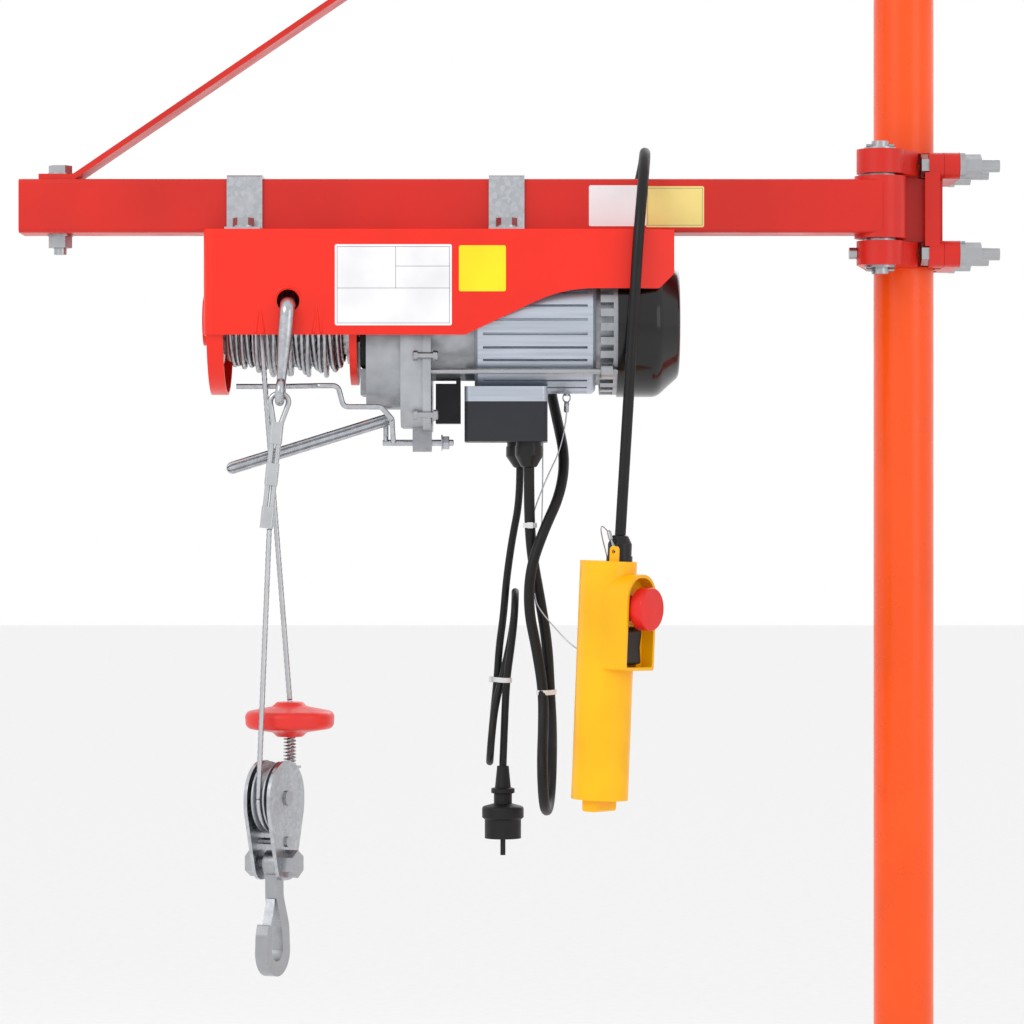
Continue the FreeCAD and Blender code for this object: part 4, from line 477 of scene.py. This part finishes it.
# In millimetres from the sheave's centre: the rope's path round it, and the foot of the drum's fall
SHEAVE_PATH = 31
FALL_FOOT = 87.5


def in_block(across, back, up):
    """A point across, behind and above the sheave's centre, in millimetres."""
    return BLOCK_AT + BLOCK_TURN @ point(across, back, up)


def rope_falls():
    """The two falls, which stretch between the hoist and the block: the drum's goes through the stop
    disc behind the sheave, and the rope end's goes to the front of the sheave."""
    feet = {"rope_fall_drum": in_block(0, SHEAVE_PATH, FALL_FOOT),
            "rope_fall_anchor": in_block(0, -SHEAVE_PATH, 0.5)}
    for node, foot in feet.items():
        low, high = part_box(node)
        top = low + high - foot
        top.z = high.z
        shape = bmesh.new()
        laid_rope(shape, straight(top, foot), ROPE_R)
        made = keep_mesh(node + "_strands", shape, "steel_rope", None, replaced=[node])
        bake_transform(made)


def rope_round_sheave():
    """The rope from one side of the sheave to the other, and up through the spring and the disc."""
    count = 60
    arc = []
    for i in range(count + 1):
        turn = math.pi * i / count
        arc.append(in_block(0, -SHEAVE_PATH * math.cos(turn), -SHEAVE_PATH * math.sin(turn)))
    arc += straight(in_block(0, SHEAVE_PATH, 1.8), in_block(0, SHEAVE_PATH, FALL_FOOT - 0.5))
    shape = bmesh.new()
    laid_rope(shape, arc, ROPE_R)
    keep_mesh("sheave_rope_strands", shape, "steel_rope", "block", replaced=["rope_on_sheave"])


def wound_rope():
    """The rope on the drum: three layers with uneven turns, each looser than the one under it."""
    # Each layer's start and end from the winding's ends, its radius, turns and looseness
    layers = ((0.003, 0.003, 0.0352, 22, 0.0012),
              (0.006, 0.006, 0.0398, 20, 0.0022),
              (0.03, 0.012, 0.0442, 14, 0.0042))
    strand_r, steps_a_turn = 0.0023, 96
    low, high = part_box("rope_winding")
    axis_y, axis_z = (low.y + high.y) / 2, (low.z + high.z) / 2
    shape = bmesh.new()
    for left, right, radius, turns, loose in layers:
        start, end = low.x + left, high.x - right
        spots = []
        steps = turns * steps_a_turn
        for i in range(steps + 1):
            part = i / steps
            turn = 2 * math.pi * turns * part
            # Slow waves, out of step with the turns, push them sideways and let them hang below
            wander = loose * math.sin(turn * 0.137 + radius * 900) * math.sin(turn * 0.5 + 1.3)
            slack = loose * 0.8 * (1 + math.sin(turn * 0.31 + 2.0)) * max(0.0, -math.sin(turn))
            across = start + (end - start) * part + wander
            reach = radius + slack
            spots.append(Vector((across, axis_y + reach * math.cos(turn), axis_z + reach * math.sin(turn))))
        laid_rope(shape, spots, strand_r, sides=8)
    keep_mesh("rope_turns", shape, "steel_rope", "drum", replaced=["rope_winding"])


def sticker(name, corner, wide, tall, look, lines=()):
    """A blank self-adhesive label on a face towards -Y, with thin printed lines for its fields."""
    thick, round_r, steps = 0.00018, 0.0018, 5
    half_line, ink = 0.00022, 0.00004
    outline = []
    for cx, cz, first in ((wide - round_r, tall - round_r, 0), (round_r, tall - round_r, 1),
                          (round_r, round_r, 2), (wide - round_r, round_r, 3)):
        for k in range(steps + 1):
            turn = math.pi / 2 * (first + k / steps)
            outline.append((cx + round_r * math.cos(turn), cz + round_r * math.sin(turn)))
    shape = bmesh.new()
    skin(shape, [[shape.verts.new(corner + Vector((x, y, z))) for x, z in outline] for y in (0.0, -thick)])
    keep_mesh(name, shape, look, "jib", smooth=False)
    if not lines:
        return
    ruled = bmesh.new()
    for x0, z0, x1, z1 in lines:
        left, right = x0 * wide - half_line, x1 * wide + half_line
        low, high = z0 * tall - half_line, z1 * tall + half_line
        corners = ((left, low), (right, low), (right, high), (left, high))
        skin(ruled, [[ruled.verts.new(corner + Vector((x, y, z))) for x, z in corners]
                     for y in (-thick * 0.5, -thick - ink)])
    keep_mesh(name + "_lines", ruled, "label_ink", "jib", smooth=False)


def border(x, z):
    """Four lines round a label, at shares of its width and height from its edges."""
    return ((x, z, 1 - x, z), (x, 1 - z, 1 - x, 1 - z), (x, z, x, 1 - z), (1 - x, z, 1 - x, 1 - z))


def labels():
    """Blank labels where the photograph has printed ones."""
    lift, arm_half = 0.00002, 25
    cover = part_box("hoist_cover")[0].y - lift
    beam = (ARM_MIDDLE - arm_half) * MILLI - lift
    fields = ((0.02, 0.46, 0.98, 0.46), (0.52, 0.46, 0.52, 0.97), (0.52, 0.73, 0.98, 0.73))
    sticker("cover_label_white", Vector((-0.5352, cover, 1.1865)), 0.1071, 0.0743, "label_white",
            border(0.02, 0.03) + fields)
    sticker("cover_label_yellow", Vector((-0.4216, cover, 1.2177)), 0.043, 0.0421, "label_yellow")
    sticker("beam_label_white", Vector((-0.3016, beam, 1.2808)), 0.0529, 0.038, "label_white")
    sticker("beam_label_cream", Vector((-0.2487, beam, 1.2798)), 0.0539, 0.0381, "label_cream",
            border(0.03, 0.05))


def clamp_threads():
    """The free threads of the long clamp bolts."""
    spread, rise = 0.041, 0.0415
    diameter, pitch, long, from_end = 0.0121, 0.00175, 0.0165, 0.0172
    for bracket in ("lower", "upper"):
        low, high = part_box(bracket + "_clamp_bolts")
        middle = (low.z + high.z) / 2
        shape = bmesh.new()
        for out in (-spread, spread):
            for up in (-rise, rise):
                start = Vector((high.x - from_end, out, middle + up))
                thread(shape, start, ALONG_ARM, diameter, pitch, long)
        sharpen(keep_mesh(bracket + "_clamp_threads", shape, "zinc_steel", "mast"))


def pressed_marks():
    """Two pressed ridges in the cover's front wall, each opening downward into a narrow V, and the
    dished rim of the rope-end hook's hole."""
    # Photo columns of the ridges and of the pole's middle, metres to a pixel in the arm's plane, and
    # the share of the arm's distance from the eye at which the cover's wall stands
    ridge_columns, pole_column, pixel, nearer = (259.6, 317.7), 911, 0.000935, 0.98
    spread, tall, steps = 0.0038, 0.029, 12
    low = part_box("hoist_cover")[0]
    shape = bmesh.new()
    for column in ridge_columns:
        x = CAMERA_X + ((column - pole_column) * pixel - CAMERA_X) * nearer
        for lean in (-1, 1):
            spots, sizes = [], []
            for i in range(steps + 1):
                part = i / steps
                across, up = lean * spread * (1 - part), 0.0014 + tall * part
                spots.append(Vector((x + across, low.y + 0.0006, low.z + up)))
                sizes.append(0.0014 * (1 - part) ** 0.5 + 0.0003)
            tube_along(shape, spots, sizes, 10)
    keep_mesh("cover_ridges", shape, "cover_paint", "jib")
    hole, rim_r, bead, steps = Vector((-0.578, low.y, 1.209)), 0.0125, 0.0013, 40
    rim = bmesh.new()
    spots, sizes = [], []
    for i in range(steps + 1):
        turn = math.radians(-30 + 240 * i / steps)
        spots.append(hole + Vector((rim_r * math.cos(turn), 0.0005, rim_r * math.sin(turn))))
        sizes.append(bead * math.sin(math.pi * (i + 0.5) / (steps + 1)) + 0.0002)
    tube_along(rim, spots, sizes, 10)
    keep_mesh("hook_hole_rim", rim, "cover_paint", "jib")


def rounded(spots, bend, steps=6):
    """The spots of a bent rod: straight runs joined by arcs of one radius."""
    line = [spots[0]]
    for before, corner, after in zip(spots, spots[1:], spots[2:]):
        back, ahead = (before - corner).normalized(), (after - corner).normalized()
        half = back.angle(ahead) / 2
        cut = bend / math.tan(half)
        centre = corner + (back + ahead).normalized() * bend / math.sin(half)
        start = (corner + back * cut - centre).normalized()
        stop = (corner + ahead * cut - centre).normalized()
        line += [centre + start.slerp(stop, i / steps) * bend for i in range(steps + 1)]
    return line + [spots[-1]]


def grooved_arm(shape, start, stop):
    """The limit lever's arm: a flat bar with two grooves along each side and rounded ends."""
    half_thick, half_wide, belly = 0.00575, 0.008, 0.0025
    groove_at, groove_half, groove_deep = 0.0024, 0.0007, 0.0014
    rows, cap_rows, long_rows = 14, 8, 20
    way = (stop - start).normalized()
    across = way.cross(Vector((0, 0, 1))).normalized()
    up = across.cross(way)
    long = (stop - start).length
    profile = []
    for i in range(2 * rows + 1):
        z = half_thick * (i / rows - 1)
        groove = sum(math.exp(-((z - at) / groove_half) ** 2) for at in (groove_at, -groove_at))
        profile.append((z, half_wide - belly * abs(z / half_thick) ** 6 - groove_deep * groove))
    around = [(z, -y) for z, y in profile] + [(z, y) for z, y in reversed(profile)]
    lengths = [-half_thick * math.cos(math.pi / 2 * i / cap_rows) for i in range(cap_rows + 1)]
    lengths += [long * i / long_rows for i in range(1, long_rows)]
    lengths += [long + half_thick * math.sin(math.pi / 2 * i / cap_rows) for i in range(cap_rows + 1)]
    rings = []
    for along in lengths:
        past = max(-along, along - long, 0)
        part = max(0.02, math.sqrt(max(0.0, 1 - (past / half_thick) ** 2)))
        rings.append([shape.verts.new(start + way * along + up * z * part + across * y) for z, y in around])
    skin(shape, rings)


def limit_lever():
    """The bent rod, the shaft with its washer and nut, and the arm that slopes down from its crank."""
    # In millimetres: the middle of the shaft's eye, its places, and the rod's high and low stretches
    eye, shaft_out, shaft_drop, reach, crank = 190.65, -14, 195, 25, 22
    behind, before, high, low, link = -36, -58, 143.3, 162.7, 172.6
    rod_r, shaft_r, bend = 0.0025, 0.003, 0.006
    shape = bmesh.new()
    pin(shape, from_hoist(shaft_out, eye - reach - 3, shaft_drop), ALONG_ARM,
        radius=shaft_r, long=0.066, bevel=0.0006, inward=0.0006)
    pin(shape, from_hoist(shaft_out, eye + reach + 3, shaft_drop), ALONG_ARM,
        radius=0.007, long=0.006, bevel=0.0005, inward=0.0005, sides=6, bore=shaft_r)
    washer_r, washer_thick = 0.0075, 0.0012
    lathe(shape, [(0, shaft_r), (0, washer_r), (washer_thick, washer_r), (washer_thick, shaft_r)],
          from_hoist(shaft_out, eye + reach + 1.6, shaft_drop), ALONG_ARM, 24)
    tube_along(shape, [from_hoist(shaft_out, eye - reach, shaft_drop),
                       from_hoist(shaft_out, eye - reach, shaft_drop - crank)], rod_r, 14)
    bent = [from_hoist(behind, 28, high), from_hoist(behind, 70, high), from_hoist(before, 106, high),
            from_hoist(before, 123, high), from_hoist(before, 128, low), from_hoist(before, 162.8, low),
            from_hoist(before, 173, 174.5)]
    tube_along(shape, rounded(bent, bend), rod_r, 14)
    tube_along(shape, [from_hoist(before, link, 174), from_hoist(shaft_out, link, shaft_drop)], rod_r, 14)
    grooved_arm(shape, from_hoist(shaft_out, eye - reach, shaft_drop - crank + 1),
                from_hoist(shaft_out - 14, 24, 218.3))
    sharpen(keep_mesh("bent_limit_lever", shape, "galvanised", "lever", replaced=["limit_lever"]))


def wire_ends():
    """The eyelet under the motor, the ferrules that close the wires' loops, and the wire through the lug."""
    eyelet_x, eyelet_z, half_wide, half_tall = -321.9, 1122.4, 3.4, 4.2
    shape = bmesh.new()
    eyelet = []
    for k in range(-11, 12):
        turn = math.pi * k / 12
        x, z = eyelet_x + half_wide * math.sin(turn), eyelet_z - half_tall * math.cos(turn)
        eyelet.append(point(x, ARM_MIDDLE, z))
    tube_along(shape, eyelet, WIRE / 2)
    tube_along(shape, [point(eyelet_x, ARM_MIDDLE, 1126.6), point(eyelet_x, ARM_MIDDLE, 1124)], 0.0022, 12)
    pin(shape, point(eyelet_x, ARM_MIDDLE, 1119), Vector((-0.03, 0, -1)),
        radius=0.0024, long=0.0104, bevel=0.0012, inward=0.0008, sides=16)
    loop = [point(-284.5, -171.5, 996), point(-283, -173, 990), point(-281.4, -174.6, 984),
            point(-279.6, -175.4, 980.4), point(-278.6, -174.6, 981.4), point(-281, -173, 986),
            point(-284, -171.8, 993)]
    tube_along(shape, loop, WIRE / 2)
    pin(shape, point(-285.4, -170.6, 998.6), Vector((0.27, -0.25, -1)),
        radius=0.0021, long=0.009, bevel=0.001, inward=0.0007, sides=16)
    sharpen(keep_mesh("wire_ends", shape, "zinc_steel", "jib"))


def motor_rods():
    """The four tie rods beside the motor, from the gearbox flange to the lugs of the fan end ring."""
    rod_r, out, rise, before = 0.0025, 0.052, 0.0467, 0.04
    motor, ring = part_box("motor_body"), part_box("motor_end_ring")
    axis_y, axis_z = (motor[0].y + motor[1].y) / 2, (motor[0].z + motor[1].z) / 2
    shape = bmesh.new()
    for side in (-1, 1):
        for up in (-1, 1):
            at = Vector((motor[0].x - before, axis_y + side * out, axis_z + up * rise))
            long = ring[1].x - at.x
            profile = [(0, 0), (0, rod_r), (long - 0.001, rod_r), (long, rod_r - 0.0007), (long, 0)]
            lathe(shape, profile, at, ALONG_ARM, 20)
            lug = at + Vector((ring[0].x + 0.004 - at.x, 0, 0))
            pin(shape, lug, ALONG_ARM, radius=0.007, long=0.012, bevel=0.0008, inward=0.0008,
                bore=rod_r + 0.0001)
    sharpen(keep_mesh("motor_rods", shape, "zinc_steel", "jib"))


def gearbox_bolts():
    """The screws that cross the gearbox flange at its rim, in front and behind."""
    start, long, heights = -0.464, 0.0232, (1.1594, 1.105)
    head, thick, bevel, shank = 0.0046, 0.0045, 0.0006, 0.003
    half = [(0, 0), (0, head - bevel), (bevel, head), (thick, head), (thick, shank)]
    profile = half + [(long - along, radius) for along, radius in reversed(half)]
    shape = bmesh.new()
    for side in (-1, 1):
        for z in heights:
            before = Vector((start + long / 2, side, z))
            _, rim, _, _ = nodes["gearbox"].ray_cast(before, Vector((0, -side, 0)))
            lathe(shape, profile, Vector((start, rim.y + side * 0.0008, z)), ALONG_ARM, 12)
    sharpen(keep_mesh("gearbox_bolts", shape, "zinc_steel", "jib"))


rope_falls()
rope_round_sheave()
wound_rope()
labels()
clamp_threads()
pressed_marks()
limit_lever()
wire_ends()
motor_rods()
gearbox_bolts()


def area_light(name, spot, target, wide, power):
    """A square soft light that faces a target."""
    data = bpy.data.lights.new(name, "AREA")
    data.shape = "SQUARE"
    data.size = wide
    data.energy = power
    made = bpy.data.objects.new(name, data)
    made.location = spot
    made.rotation_euler = (Vector(target) - Vector(spot)).to_track_quat("-Z", "Y").to_euler()
    bpy.context.scene.collection.objects.link(made)


def studio():
    """A pale floor, a white surround and soft light."""
    edge = 30.0
    mesh = bpy.data.meshes.new("floor")
    corners = [(-edge, -edge, 0), (edge, -edge, 0), (edge, edge, 0), (-edge, edge, 0)]
    mesh.from_pydata(corners, [], [(0, 1, 2, 3)])
    floor = bpy.data.objects.new("floor", mesh)
    bpy.context.scene.collection.objects.link(floor)
    pale = Shader("floor", (0.9, 0.9, 0.9, 1), 0.8)
    pale.tint(pale.noise(40), (0.88, 0.88, 0.88, 1))
    mesh.materials.append(pale.material)
    world = bpy.data.worlds.new("surround")
    world.use_nodes = True
    sky = world.node_tree.nodes["Background"].inputs
    sky["Color"].default_value = (1, 1, 1, 1)
    sky["Strength"].default_value = 1.0
    bpy.context.scene.world = world
    bpy.context.scene.view_settings.view_transform = "Standard"
    middle = (-0.4, -0.07, 1.1)
    area_light("key", (-2.6, -3.0, 3.0), middle, wide=1.6, power=32)
    area_light("fill", (2.4, -2.6, 1.6), middle, wide=1.8, power=10)
    area_light("rim", (0.6, 2.4, 2.6), middle, wide=1.6, power=14)


studio()
